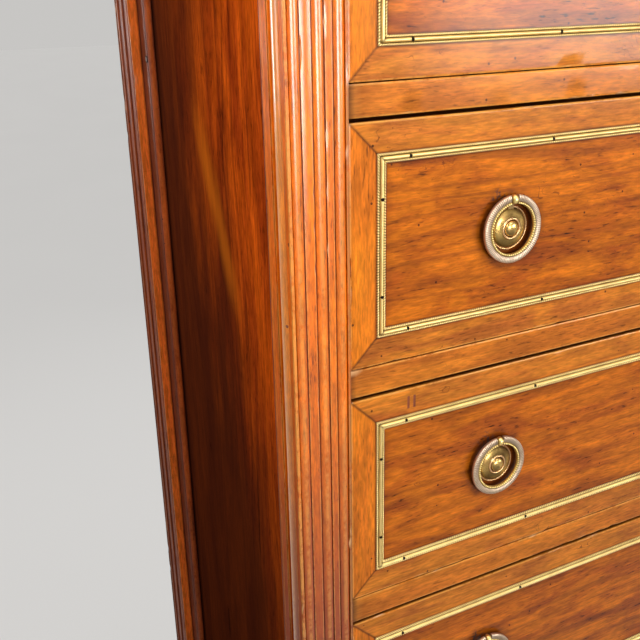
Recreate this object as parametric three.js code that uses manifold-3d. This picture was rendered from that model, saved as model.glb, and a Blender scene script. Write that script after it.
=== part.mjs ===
// A semainier: a tall, narrow chest of seven equal drawers, one for each day of the week.
// Millimetres, +Z up, +Y to the back. The origin is on the floor under the middle of the chest.
import * as THREE from "three";
import { mergeVertices } from "three/addons/utils/BufferGeometryUtils.js";
import Module from "manifold-3d";

const wasm = await Module();
wasm.setup();

// Drawers, counted from the top
const drawerCount = 7;
const drawerWidth = 470;
const drawerHeight = 152;
const drawerFrontThickness = 20;
const drawerEndGap = 1;
const drawerTopGap = 2.2;
const drawerBottomGap = 0.5;

// Drawer box behind each front
const boxSetIn = 1;
const boxSideHeight = 128;
const boxSideThickness = 10;
const boxRearGap = 13;
const boxLapInFront = 12;
const boxBottomThickness = 6;
const boxBottomRise = 8;
const boxBottomGroove = 5;

// Carcase
const railHeight = 19.1;
const baseRailHeight = 55;
const caseDepth = 333.5;
const postProud = 2.5;
const glueGap = 0.3;

// Corner posts
const postWidth = 38.5;
const frontPostDepth = 31.4;
const rearPostDepth = 39;
const stripWidth = 17.6;
const stripSetBack = 7.8;
const reedWidth = 6.9;
const quirkWidth = 0.7;
const quirkDepth = 1.9;
const filletWidth = 1.7;
const outerFlatWidth = 6.4;
const flatSunk = 1;
const sideReedWidth = 10.2;
const sideReedRise = 2.6;
const sideFlatWidth = 6.8;
const astragalWidth = 3.4;

// Turned feet, in one piece with the posts
const footHeight = 95;
const footToeRadius = 11;
const footCalfRadius = 15.5;
const footCollarRadius = 18.5;
const footNeckRadius = 14;
const footCollarHeight = 9;
const footNeckHeight = 6;
const footEdge = 2;

// Side panels
const sideRailHeight = 60;
const sideFieldSetBack = 5.2;
const sideFieldThickness = 8;
const beadSize = 4.8;

// Dust boards behind the rails
const railDepth = 48;
const runnerWidth = 56;
const rearRailDepth = 40;
const dustPanelThickness = 6;
const guideHeight = 12;
const stopHeight = 5;
const stopWidth = 30;
const stopDepth = 15;
const stopFromEnd = 100;

// Back and top
const backThickness = 9;
const backSetIn = 1;
const coveHeight = 14;
const coveReach = 9;
const coveStart = 2;
const topThickness = 20;
const topReach = 16;
const topEdgeRound = 6;

// Brass moulding on the drawer fronts
const mouldingInset = 18.65;
const mouldingWidth = 6;
const mouldingEdge = 1;
const mouldingShoulder = 1.2;
const mouldingRise = 2.2;

// Ring pulls
const pullFromEdge = 117.5;
const plateRadius = 14.5;
const plateRim = 0.8;
const plateDomeRise = 3;
const plateBeadRadius = 7.5;
const plateBeadRise = 3.9;
const plateBeadWidth = 2.4;
const plateButtonRadius = 5.4;
const plateButtonShoulder = 3.8;
const plateButtonRise = 5.2;
const ringOuterRadius = 22.5;
const ringInnerRadius = 16.5;
const ringThickness = 3.1;
const ringStandOff = 3;
const ringBevel = 1.4;
const ringBevelFall = 0.9;
const lugThickness = 5;
const lugRadius = 3.2;
const lugBaseRise = 1.6;
const lugBoreRadius = 1.1;
const lugPinRadius = 0.8;
const lugPinSeat = 1.5;
const lugGap = 0.4;
const studRadius = 2;
const studEnd = 5;
const studGap = 0.3;

// How finely curves are cut
const reedSteps = 6;
const footSides = 18;
const plateSides = 20;
const ringSides = 28;
const lugSteps = 5;
const boreSides = 6;
const pinSides = 6;
const studSides = 8;
const mouldSteps = 3;
const overrun = 1;

// Places worked out from the sizes above
const openingHeight = drawerHeight + drawerTopGap + drawerBottomGap;
const pitch = openingHeight + railHeight;
const openingHalf = drawerWidth / 2 + drawerEndGap;
const caseHalf = openingHalf + postWidth;
const carcaseBase = footHeight + baseRailHeight;
const carcaseTop = carcaseBase + drawerCount * pitch;
const frontY = -(caseDepth + topReach) / 2 + topReach;
const faceY = frontY + postProud;
const rearY = frontY + caseDepth;
const stripX = caseHalf - stripSetBack;
const fieldX = stripX - sideFieldSetBack;
const sideInnerX = fieldX - sideFieldThickness;
const sideFrontY = frontY + frontPostDepth + stripWidth;
const sideRearY = rearY - rearPostDepth - stripWidth;
const backY = rearY - backSetIn - backThickness;
const boxLength = backY - boxRearGap - (faceY + drawerFrontThickness);
const pivotRise = (ringOuterRadius + ringInnerRadius) / 2;
const pivotOut = ringStandOff + ringThickness / 2;

// Materials
const finish = (color, roughness, metalness) =>
  new THREE.MeshStandardMaterial({ color, roughness, metalness });
const caseWalnut = () => finish(0xa5521c, 0.35, 0);
const drawerWalnut = () => finish(0xb2651f, 0.35, 0);
const panelWalnut = () => finish(0x7a3312, 0.4, 0);
const plainWood = () => finish(0xa98a5c, 0.8, 0);
const mouldingBrass = () => finish(0xb5954a, 0.4, 1);
const pullBrass = () => finish(0x9c8452, 0.38, 1);

// Closed solids and booleans
function solidOf(geometry) {
  const bare = geometry.clone();
  bare.deleteAttribute("normal");
  bare.deleteAttribute("uv");
  const merged = mergeVertices(bare);
  return new wasm.Manifold(
    new wasm.Mesh({
      numProp: 3,
      vertProperties: new Float32Array(merged.attributes.position.array),
      triVerts: new Uint32Array(merged.index.array),
    }),
  );
}

function geometryOf(solid) {
  const mesh = solid.getMesh();
  const geometry = new THREE.BufferGeometry();
  geometry.setAttribute("position", new THREE.BufferAttribute(mesh.vertProperties, 3));
  geometry.setIndex(new THREE.BufferAttribute(mesh.triVerts, 1));
  geometry.computeVertexNormals();
  return geometry;
}

function join(...geometries) {
  return geometryOf(geometries.map(solidOf).reduce((sum, next) => sum.add(next)));
}

function cut(geometry, ...tools) {
  return geometryOf(tools.map(solidOf).reduce((rest, tool) => rest.subtract(tool), solidOf(geometry)));
}

// A box between two corners
function block([x0, y0, z0], [x1, y1, z1]) {
  const geometry = new THREE.BoxGeometry(x1 - x0, y1 - y0, z1 - z0);
  return geometry.translate((x0 + x1) / 2, (y0 + y1) / 2, (z0 + z1) / 2);
}

// An outline in x and y, drawn up from one height to another
function prism(outline, from, to) {
  const shape = new THREE.Shape(outline.map(([x, y]) => new THREE.Vector2(x, y)));
  const geometry = new THREE.ExtrudeGeometry(shape, { depth: to - from, bevelEnabled: false });
  return geometry.translate(0, 0, from);
}

// A profile of radius and height, turned about the z axis
function turned(profile, sides) {
  return new THREE.LatheGeometry(
    profile.map(([radius, height]) => new THREE.Vector2(radius, height)),
    sides,
  ).rotateX(Math.PI / 2);
}

// Rectangles one after another, skinned together. A ring closes the last one on the first.
function skin(rectangles, isRing) {
  const positions = rectangles.flat(2);
  const index = [];
  const count = rectangles.length;
  const last = isRing ? count : count - 1;
  for (let level = 0; level < last; level++) {
    const next = (level + 1) % count;
    for (let corner = 0; corner < 4; corner++) {
      const a = level * 4 + corner;
      const b = level * 4 + ((corner + 1) % 4);
      const c = next * 4 + ((corner + 1) % 4);
      const d = next * 4 + corner;
      index.push(a, b, c, a, c, d);
    }
  }
  if (!isRing) {
    const top = last * 4;
    index.push(0, 2, 1, 0, 3, 2, top, top + 1, top + 2, top, top + 2, top + 3);
  }
  const geometry = new THREE.BufferGeometry();
  geometry.setAttribute("position", new THREE.Float32BufferAttribute(positions, 3));
  geometry.setIndex(index);
  return geometry;
}

// The angles of a quarter turn, for coves, beads and rounded edges
function quarterTurn() {
  return Array.from({ length: mouldSteps + 1 }, (_, step) => (Math.PI / 2) * (step / mouldSteps));
}

// A half-round reed across a stretch of face, as [along, depth] points
function reed(start, width, base, rise) {
  const points = [];
  for (let step = 0; step <= reedSteps; step++) {
    const angle = (Math.PI * step) / reedSteps;
    points.push([start + (width * (1 - Math.cos(angle))) / 2, base - rise * Math.sin(angle)]);
  }
  return points;
}

// Three reeds with a wide and a narrow flat between them, from the outer corner along one face of a post
function threeReeds(width) {
  const reeds = 3;
  const quirks = 2 * reeds - 1;
  const carved = 2 * filletWidth + quirks * quirkWidth + reeds * reedWidth;
  const flats = [outerFlatWidth, width - carved - outerFlatWidth];
  const points = [
    [0, 0],
    [filletWidth, 0],
    [filletWidth, quirkDepth],
  ];
  let along = filletWidth + quirkWidth;
  for (let count = 0; count < reeds; count++) {
    points.push(...reed(along, reedWidth, quirkDepth, quirkDepth));
    along += reedWidth;
    if (count < flats.length) {
      points.push([along + quirkWidth, quirkDepth], [along + quirkWidth, flatSunk]);
      along += quirkWidth + flats[count];
      points.push([along, flatSunk], [along, quirkDepth]);
      along += quirkWidth;
    }
  }
  points.push([along, 0], [width, 0]);
  return points;
}

// The side face of a front post, from the front corner back: flat, wide reed, astragal and strip
function wideReed(depth) {
  const reedStart = filletWidth + sideFlatWidth + quirkWidth;
  const astragalStart = reedStart + sideReedWidth + quirkWidth;
  const bandStart = astragalStart + astragalWidth + quirkWidth;
  return [
    [0, 0],
    [filletWidth, 0],
    [filletWidth, flatSunk],
    [filletWidth + sideFlatWidth, flatSunk],
    [filletWidth + sideFlatWidth, sideReedRise],
    ...reed(reedStart, sideReedWidth, sideReedRise, sideReedRise),
    ...reed(astragalStart, astragalWidth, sideReedRise, quirkDepth),
    [bandStart, sideReedRise],
    [bandStart, flatSunk],
    [depth, flatSunk],
  ];
}

// Posts. An outline starts at the outer front corner; x runs in to the drawers and y to the back.
const frontFace = threeReeds(postWidth);
const frontSide = wideReed(frontPostDepth).map(([along, sunk]) => [sunk, along]);
const rearSide = threeReeds(rearPostDepth).map(([along, sunk]) => [sunk, along + stripWidth]);

const frontPostOutline = [
  ...frontFace,
  [postWidth, frontPostDepth + stripWidth],
  [stripSetBack, frontPostDepth + stripWidth],
  [stripSetBack, frontPostDepth],
  ...frontSide.slice(1).reverse(),
];
const rearPostOutline = [
  [stripSetBack, 0],
  [postWidth, 0],
  [postWidth, stripWidth + rearPostDepth],
  ...rearSide.slice().reverse(),
  [stripSetBack, stripWidth],
];
const plainOutline = (depth) => [
  [0, 0],
  [postWidth, 0],
  [postWidth, depth],
  [0, depth],
];

function foot(depth) {
  const calfTop = footHeight - footCollarHeight - footNeckHeight;
  const profile = [
    [0, 0],
    [footToeRadius, 0],
    [footCalfRadius, calfTop - footEdge],
    [footNeckRadius, calfTop],
    [footNeckRadius, calfTop + footNeckHeight],
    [footCollarRadius, calfTop + footNeckHeight + footEdge],
    [footCollarRadius, footHeight - footEdge],
    [footCalfRadius, footHeight + overrun],
    [0, footHeight + overrun],
  ];
  return turned(profile, footSides).translate(postWidth / 2, depth / 2, 0);
}

function post(outline, blockStart, blockDepth) {
  const lowBlock = prism(plainOutline(blockDepth), footHeight, carcaseBase).translate(0, blockStart, 0);
  const highBlock = prism(plainOutline(blockDepth), carcaseTop - railHeight, carcaseTop);
  const wholeDepth = Math.max(...outline.map(([, y]) => y));
  const shaft = prism(outline, footHeight, carcaseTop);
  return join(shaft, lowBlock, highBlock.translate(0, blockStart, 0), foot(wholeDepth));
}

// Side panel: a board between the posts, its field sunk between a top and a bottom rail
function sidePanel() {
  const board = block(
    [sideInnerX, sideFrontY + glueGap, footHeight],
    [stripX, sideRearY - glueGap, carcaseTop],
  );
  const field = block(
    [fieldX, sideFrontY - overrun, footHeight + sideRailHeight],
    [stripX + overrun, sideRearY + overrun, carcaseTop - sideRailHeight],
  );
  return cut(board, field);
}

// Quarter-round bead, mitred round the sunk field
function panelBead() {
  const front = sideFrontY + glueGap;
  const rear = sideRearY - glueGap;
  const low = footHeight + sideRailHeight + glueGap;
  const high = carcaseTop - sideRailHeight - glueGap;
  const rectangle = (inset, x) => [
    [x, front + inset, low + inset],
    [x, rear - inset, low + inset],
    [x, rear - inset, high - inset],
    [x, front + inset, high - inset],
  ];
  const base = fieldX + glueGap;
  const round = quarterTurn().map((angle) => [
    beadSize * Math.sin(angle),
    base + beadSize * Math.cos(angle),
  ]);
  return skin([[0, base], ...round].map(([inset, x]) => rectangle(inset, x)), true);
}

// Dust board: rail, runners and rear rail round a thin panel, with guides and stops for the drawer on it
function dustBoard(top, frontHeight, hasDrawerAbove) {
  const inFront = openingHalf - glueGap;
  const atSide = sideInnerX - glueGap;
  const notchFront = sideFrontY + glueGap;
  const notchRear = sideRearY - glueGap;
  const rear = backY - glueGap;
  const outline = [
    [-inFront, faceY],
    [inFront, faceY],
    [inFront, notchFront],
    [atSide, notchFront],
    [atSide, notchRear],
    [inFront, notchRear],
    [inFront, rear],
    [-inFront, rear],
    [-inFront, notchRear],
    [-atSide, notchRear],
    [-atSide, notchFront],
    [-inFront, notchFront],
  ];
  const bottom = top - railHeight;
  const panelUnder = block(
    [-openingHalf + runnerWidth, faceY + railDepth, bottom - overrun],
    [openingHalf - runnerWidth, rear - rearRailDepth, top - dustPanelThickness],
  );
  const pieces = [cut(prism(outline, bottom, top), panelUnder)];
  if (frontHeight > railHeight) {
    pieces.push(block([-inFront, faceY, top - frontHeight], [inFront, faceY + railHeight, top - overrun]));
  }
  if (hasDrawerAbove) {
    for (const side of [-1, 1]) {
      const [near, far] = [side * openingHalf, side * atSide].sort((a, b) => a - b);
      pieces.push(block([near, notchFront, top - overrun], [far, notchRear, top + guideHeight]));
      const stopX = side * (openingHalf - stopFromEnd);
      const stopY = faceY + drawerFrontThickness + glueGap;
      pieces.push(
        block(
          [stopX - stopWidth / 2, stopY, top - overrun],
          [stopX + stopWidth / 2, stopY + stopDepth, top + stopHeight],
        ),
      );
    }
  }
  return join(...pieces);
}

// Top board with a cove under its edge; the back edge is plain, to stand against a wall
function topBoard() {
  const low = carcaseTop + glueGap;
  const edgeLow = low + coveHeight;
  const edgeHigh = edgeLow + topThickness;
  const cove = quarterTurn().map((angle) => [
    coveStart + coveReach * (1 - Math.cos(angle)),
    low + coveHeight * Math.sin(angle),
  ]);
  const nose = quarterTurn().map((angle) => [
    topReach - topEdgeRound * (1 - Math.cos(angle)),
    edgeHigh - topEdgeRound * (1 - Math.sin(angle)),
  ]);
  const rectangle = ([reach, z]) => [
    [-caseHalf - reach, frontY - reach, z],
    [caseHalf + reach, frontY - reach, z],
    [caseHalf + reach, rearY, z],
    [-caseHalf - reach, rearY, z],
  ];
  return skin([...cove, [topReach, edgeLow], ...nose].map(rectangle), false);
}

// Drawer: the front with its box, made in place for a front whose lower edge is at z
function drawer(z) {
  const half = drawerWidth / 2;
  const boxHalf = half - boxSetIn;
  const boxStart = faceY + drawerFrontThickness - boxLapInFront;
  const boxEnd = faceY + drawerFrontThickness + boxLength;
  const bottomZ = z + boxBottomRise;
  const inner = boxHalf - boxSideThickness;
  const front = block([-half, faceY, z], [half, faceY + drawerFrontThickness, z + drawerHeight]);
  const sides = [-1, 1].map((side) => {
    const [near, far] = [side * inner, side * boxHalf].sort((a, b) => a - b);
    return block([near, boxStart, z], [far, boxEnd, z + boxSideHeight]);
  });
  const back = block(
    [-inner - boxBottomGroove, boxEnd - boxSideThickness, bottomZ],
    [inner + boxBottomGroove, boxEnd, z + boxSideHeight],
  );
  const bottom = block(
    [-inner - boxBottomGroove, boxStart, bottomZ],
    [inner + boxBottomGroove, boxEnd - boxSideThickness / 2, bottomZ + boxBottomThickness],
  );
  const bores = [-1, 1].map((side) =>
    new THREE.CylinderGeometry(
      studRadius + studGap,
      studRadius + studGap,
      drawerFrontThickness + 2 * overrun,
      studSides,
    ).translate(side * (half - pullFromEdge), faceY + drawerFrontThickness / 2, z + drawerHeight / 2),
  );
  return cut(join(front, ...sides, back, bottom), ...bores);
}

// Brass moulding: a mitred frame with raised edges and a rounded crest
function moulding(z) {
  const rectangle = ([inset, rise]) => {
    const half = drawerWidth / 2 - mouldingInset - inset;
    const low = z + mouldingInset + inset;
    const high = z + drawerHeight - mouldingInset - inset;
    return [
      [-half, faceY - rise, low],
      [half, faceY - rise, low],
      [half, faceY - rise, high],
      [-half, faceY - rise, high],
    ];
  };
  const section = [
    [0, 0],
    [0, mouldingEdge],
    [mouldingShoulder, mouldingEdge],
    [mouldingWidth / 2 - mouldingEdge / 2, mouldingRise],
    [mouldingWidth / 2 + mouldingEdge / 2, mouldingRise],
    [mouldingWidth - mouldingShoulder, mouldingEdge],
    [mouldingWidth, mouldingEdge],
    [mouldingWidth, 0],
  ];
  return skin(section.map(rectangle), true);
}

// Pull plate: a turned dome with a bead and a button, a pivot lug above and a stud behind
function pullPlate() {
  const half = plateBeadWidth / 2;
  const profile = [
    [0, 0],
    [plateRadius, 0],
    [plateRadius, plateRim],
    [plateBeadRadius + half, plateDomeRise],
    [plateBeadRadius, plateBeadRise],
    [plateBeadRadius - half, plateDomeRise],
    [plateButtonRadius, plateButtonShoulder],
    [plateButtonRadius / 2, plateButtonRise],
    [0, plateButtonRise],
  ];
  const dome = turned(profile, plateSides).rotateX(Math.PI / 2);
  const studTip = drawerFrontThickness + studEnd;
  const studRoot = -plateRim / 2;
  const stud = new THREE.CylinderGeometry(studRadius, studRadius, studTip - studRoot, studSides);
  stud.translate(0, (studTip + studRoot) / 2, 0);
  const ear = new THREE.Shape();
  ear.moveTo(0, pivotRise - plateRadius / 2);
  ear.lineTo(lugBaseRise, pivotRise - plateRadius / 2);
  ear.lineTo(lugBaseRise, pivotRise - lugRadius);
  ear.absarc(pivotOut, pivotRise, lugRadius, -Math.PI / 2, Math.PI / 2, false);
  ear.lineTo(0, pivotRise + lugRadius);
  const lug = new THREE.ExtrudeGeometry(ear, {
    depth: lugThickness,
    bevelEnabled: false,
    curveSegments: lugSteps,
  });
  const outwardUpAcross = new THREE.Matrix4().makeBasis(
    new THREE.Vector3(0, -1, 0),
    new THREE.Vector3(0, 0, 1),
    new THREE.Vector3(-1, 0, 0),
  );
  lug.translate(0, 0, -lugThickness / 2).applyMatrix4(outwardUpAcross);
  const bore = new THREE.CylinderGeometry(
    lugBoreRadius,
    lugBoreRadius,
    lugThickness + 2 * overrun,
    boreSides,
  );
  bore.rotateZ(Math.PI / 2).translate(0, -pivotOut, pivotRise);
  return cut(join(dome, stud, lug), bore);
}

// Pull ring: bevelled on its face, open at the top for the lug and closed there by a thin pin
function pullRing() {
  const back = ringStandOff;
  const face = ringStandOff + ringThickness;
  const section = [
    [ringInnerRadius, back],
    [ringOuterRadius, back],
    [ringOuterRadius, face - ringBevelFall],
    [ringOuterRadius - ringBevel, face],
    [ringInnerRadius + ringBevel, face],
    [ringInnerRadius, face - ringBevelFall],
    [ringInnerRadius, back],
  ];
  const ring = turned(section, ringSides).rotateX(Math.PI / 2);
  const half = lugThickness / 2 + lugGap;
  const room = block(
    [-half, -face - overrun, ringInnerRadius / 2],
    [half, -back + overrun, ringOuterRadius + overrun],
  );
  const pin = new THREE.CylinderGeometry(
    lugPinRadius,
    lugPinRadius,
    2 * (half + lugPinSeat),
    pinSides,
  )
    .rotateZ(Math.PI / 2)
    .translate(0, -pivotOut, pivotRise);
  return join(cut(ring, room), pin);
}

// The scene graph
const semainier = new THREE.Group();

function add(name, geometry, material, parent = semainier) {
  const mesh = new THREE.Mesh(geometry, material);
  mesh.name = name;
  parent.add(mesh);
  return mesh;
}

// A copy of a left-hand shape for the right-hand side, with its faces turned out again
function mirrored(geometry) {
  const copy = geometry.clone().scale(-1, 1, 1);
  const corners = copy.index.array;
  for (let at = 0; at < corners.length; at += 3) {
    [corners[at], corners[at + 1]] = [corners[at + 1], corners[at]];
  }
  return copy;
}

const leftFrontPost = post(frontPostOutline, 0, frontPostDepth).translate(-caseHalf, frontY, 0);
const leftRearPost = post(rearPostOutline, stripWidth, rearPostDepth).translate(
  -caseHalf,
  rearY - rearPostDepth - stripWidth,
  0,
);
add("post_front_left", leftFrontPost, caseWalnut());
add("post_front_right", mirrored(leftFrontPost), caseWalnut());
add("post_rear_left", leftRearPost, caseWalnut());
add("post_rear_right", mirrored(leftRearPost), caseWalnut());

const rightPanel = sidePanel();
add("side_panel_right", rightPanel, panelWalnut());
add("side_panel_left", mirrored(rightPanel), panelWalnut());
const rightBead = panelBead();
add("panel_bead_right", rightBead, panelWalnut());
add("panel_bead_left", mirrored(rightBead), panelWalnut());

add(
  "back_panel",
  block(
    [-openingHalf + glueGap, backY, footHeight],
    [openingHalf - glueGap, backY + backThickness, carcaseTop],
  ),
  plainWood(),
);
add("top_board", topBoard(), caseWalnut());

for (let level = 0; level <= drawerCount; level++) {
  const isBase = level === drawerCount;
  const frontHeight = isBase ? baseRailHeight : railHeight;
  add(`rail_${level + 1}`, dustBoard(carcaseTop - level * pitch, frontHeight, level > 0), caseWalnut());
}

for (let number = 1; number <= drawerCount; number++) {
  const z = carcaseTop - number * pitch + drawerBottomGap;
  const unit = new THREE.Group();
  semainier.add(unit);
  add(`drawer_${number}`, drawer(z), drawerWalnut(), unit);
  add(`moulding_${number}`, moulding(z), mouldingBrass(), unit);
  for (const [side, direction] of [["left", -1], ["right", 1]]) {
    const pull = new THREE.Group();
    pull.position.set(direction * (drawerWidth / 2 - pullFromEdge), faceY, z + drawerHeight / 2);
    unit.add(pull);
    add(`pull_plate_${number}_${side}`, pullPlate(), pullBrass(), pull);
    add(`pull_ring_${number}_${side}`, pullRing(), pullBrass(), pull);
  }
}

export default semainier;
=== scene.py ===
# A semainier dressed over its frame: a tall chest of seven drawers in old polished walnut,
# with reeded corner posts, mitred brass mouldings and ring pulls. Sizes are in millimetres and
# become metres when a piece is built. +Z is up, +Y is to the back, and the floor is at zero.
import math
import bmesh
import bpy
from mathutils import Matrix, Vector, noise


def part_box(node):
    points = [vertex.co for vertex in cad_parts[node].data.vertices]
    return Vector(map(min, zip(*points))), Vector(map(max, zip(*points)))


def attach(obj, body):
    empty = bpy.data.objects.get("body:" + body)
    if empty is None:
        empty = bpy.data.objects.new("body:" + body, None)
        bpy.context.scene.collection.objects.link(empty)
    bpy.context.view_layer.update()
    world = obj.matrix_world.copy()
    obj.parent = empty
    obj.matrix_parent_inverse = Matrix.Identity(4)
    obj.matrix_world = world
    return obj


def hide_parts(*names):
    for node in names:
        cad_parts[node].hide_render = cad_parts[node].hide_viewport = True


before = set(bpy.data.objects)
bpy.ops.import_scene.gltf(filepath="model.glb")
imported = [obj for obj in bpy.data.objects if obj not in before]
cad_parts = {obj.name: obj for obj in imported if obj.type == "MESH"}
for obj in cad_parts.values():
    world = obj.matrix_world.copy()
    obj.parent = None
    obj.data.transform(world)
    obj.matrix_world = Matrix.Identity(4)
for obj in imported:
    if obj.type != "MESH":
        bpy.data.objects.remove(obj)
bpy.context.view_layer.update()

MM = 0.001
SIDES = (("left", -1), ("right", 1))


def corners(node):
    """Lowest and highest corner of one of the frame's nodes, in millimetres."""
    low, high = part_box(node)
    return low / MM, high / MM


# The case, measured on the frame
FRONT_POST = corners("post_front_left")
REAR_POST = corners("post_rear_left")
CASE_HALF = -FRONT_POST[0].x
OPENING_HALF = -FRONT_POST[1].x
FRONT_Y = FRONT_POST[0].y
REAR_Y = REAR_POST[1].y
CASE_TOP = FRONT_POST[1].z
POST_WIDTH = CASE_HALF - OPENING_HALF
BACK_LOW, BACK_HIGH = corners("back_panel")
SIDE_LOW, SIDE_HIGH = corners("side_panel_right")
BEAD_LOW, BEAD_HIGH = corners("panel_bead_right")
TOP_LOW, TOP_HIGH = corners("top_board")
FOOT_HEIGHT = SIDE_LOW.z

# The drawers, counted from the top
DRAWERS = 7
DRAWER_LOW, DRAWER_HIGH = corners("drawer_1")
DRAWER_HALF = DRAWER_HIGH.x
DRAWER_HEIGHT = DRAWER_HIGH.z - DRAWER_LOW.z
FACE_Y = DRAWER_LOW.y
PITCH = DRAWER_LOW.z - corners("drawer_2")[0].z
CASE_BASE = CASE_TOP - DRAWERS * PITCH
FRONT_THICKNESS = 20.0
BOX_SET_IN = 1.0
BOX_SIDE_HEIGHT = 128.0
BOX_BOARD = 10.0
BOX_BOTTOM = 6.0
BOX_BOTTOM_RISE = 8.0

# Reeding of the posts
FRONT_POST_DEPTH = 31.4
REAR_POST_DEPTH = 39.0
STRIP_WIDTH = 17.6
STRIP_SET_BACK = 7.8
REED_WIDTH = 6.9
QUIRK_WIDTH = 0.7
QUIRK_DEPTH = 1.9
FILLET_WIDTH = 1.7
OUTER_FLAT_WIDTH = 6.4
FLAT_SUNK = 1.0
SIDE_REED_WIDTH = 10.2
SIDE_REED_RISE = 2.6
SIDE_FLAT_WIDTH = 6.8
ASTRAGAL_WIDTH = 3.4
ARRIS_WIDTH = 0.8
FLAT_CAMBERS = (0.28, 0.06)
REED_STEPS = 16
# Reed crests are lightened, partly by wear and partly as painted highlight.
CREST_RUB_AND_HIGHLIGHT = 0.6
RING_STEP = 5.0
COLUMN_STEP = 8.0

# Rails and dust boards
RAIL_HEIGHT = 19.1
RAIL_DEPTH = 48.0
BASE_RAIL_THICKNESS = 19.1
BASE_RAIL_HEIGHT = 55.0
RUNNER_WIDTH = 56.0
REAR_RAIL_DEPTH = 40.0
DUST_PANEL = 6.0
GUIDE_HEIGHT = 12.0
STOP_HEIGHT = 5.0
STOP_WIDTH = 30.0
STOP_DEPTH = 15.0
STOP_FROM_END = 100.0
GLUE_GAP = 0.3

# Side panels
SIDE_RAIL_HEIGHT = 60.0
BEAD_SIZE = 4.8
FIELD_BOW = 0.5

# Brass moulding
MOULDING_INSET = 18.65
MOULDING_WIDTH = 6.0
MOULDING_BEAD = 1.6
MOULDING_BEAD_PITCH = 1.7
MOULDING_CREST = 2.2

# Ring pulls
PULL_FROM_EDGE = 117.5
PULL_X = DRAWER_HALF - PULL_FROM_EDGE
RING_OUTER = 22.5
RING_INNER = 16.5
RING_STAND_OFF = 3.0
RING_THICKNESS = 3.1
PIVOT_RISE = (RING_OUTER + RING_INNER) / 2
PIVOT_OUT = RING_STAND_OFF + RING_THICKNESS / 2
BALL_RADIUS = 3.2
BALL_HALF_WIDTH = 2.5
BORE_RADIUS = 1.1
PIN_RADIUS = 0.8


def ramp(value, low, high):
    """0 below low, 1 above high, and a smooth rise between."""
    share = min(max((value - low) / (high - low), 0.0), 1.0)
    return share * share * (3 - 2 * share)


def evenly(start, end, count):
    """Stops from start to end, both included, in count equal steps."""
    return [start + (end - start) * at / count for at in range(count + 1)]


def steps(start, end, step):
    """Even stops from start to end, both included, about one step apart."""
    return evenly(start, end, max(1, round(abs(end - start) / step)))


def linked(name, data):
    """A new object in the scene."""
    piece = bpy.data.objects.new(name, data)
    bpy.context.scene.collection.objects.link(piece)
    return piece


# Building a piece. Every point is (x, y, z, arris, grime, chip): the last three say how far the
# edge there is lightened, partly by wear and partly as painted highlight; how much old wax and
# soiling it holds, which on hidden faces and some hollows is painted shade; and whether a splinter has gone.

class Shape:
    """The points and faces of one piece, each face with its finish."""

    def __init__(self):
        self.points = []
        self.faces = []
        self.finishes = []

    def skin(self, rings, looped=False, caps=False, finish=0, cap_finishes=None):
        """Joins each ring of points to the next. finish may be a function of ring and point."""
        first = len(self.points)
        size = len(rings[0])
        for ring in rings:
            self.points.extend(ring)
        for level in range(len(rings) if looped else len(rings) - 1):
            here = first + level * size
            there = first + (level + 1) % len(rings) * size
            for corner in range(size):
                after = (corner + 1) % size
                self.faces.append([here + corner, here + after, there + after, there + corner])
                self.finishes.append(finish(level, corner) if callable(finish) else finish)
        if caps:
            last = first + (len(rings) - 1) * size
            self.faces.append(list(range(first, first + size))[::-1])
            self.faces.append(list(range(last, last + size)))
            plain = 0 if callable(finish) else finish
            self.finishes.extend(cap_finishes or [plain, plain])

    def build(self, name, body, materials, stands_for=(), sharp_angle=32.0):
        """Makes the Blender object, puts it on its body and hides the frame's nodes that it stands for."""
        mesh = bpy.data.meshes.new(name)
        mesh.from_pydata([[value * MM for value in point[:3]] for point in self.points], [], self.faces)
        mesh.polygons.foreach_set("material_index", self.finishes)
        marks = mesh.attributes.new("marks", "FLOAT_VECTOR", "POINT")
        marks.data.foreach_set("vector", [value for point in self.points for value in point[3:6]])
        work = bmesh.new()
        work.from_mesh(mesh)
        bmesh.ops.recalc_face_normals(work, faces=work.faces)
        work.to_mesh(mesh)
        work.free()
        mesh.polygons.foreach_set("use_smooth", [True] * len(mesh.polygons))
        mesh.set_sharp_from_angle(angle=math.radians(sharp_angle))
        for material in materials:
            mesh.materials.append(material)
        piece = linked(name, mesh)
        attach(piece, body)
        if stands_for:
            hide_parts(*stands_for)


CHIP_BAND = (0.68, 0.84)
# Board arrises are lightened, partly by wear and partly as painted highlight.
BOARD_RUB_AND_HIGHLIGHT = 0.6


def chipped(x, y, z, arris, towards, depth, seed):
    """A point on a worn edge, moved in towards another where a splinter is missing."""
    field = noise.noise(Vector((x * 0.12 + seed, y * 0.31, z * 0.12)))
    small = noise.noise(Vector((x * 0.5 - seed, y * 1.1, z * 0.5)))
    chip = arris * ramp(field + small, *CHIP_BAND)
    away = Vector(towards) - Vector((x, y, z))
    away = away.normalized() * depth * chip if away.length > 0 else away
    return x + away.x, y + away.y, z + away.z, chip


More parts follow.
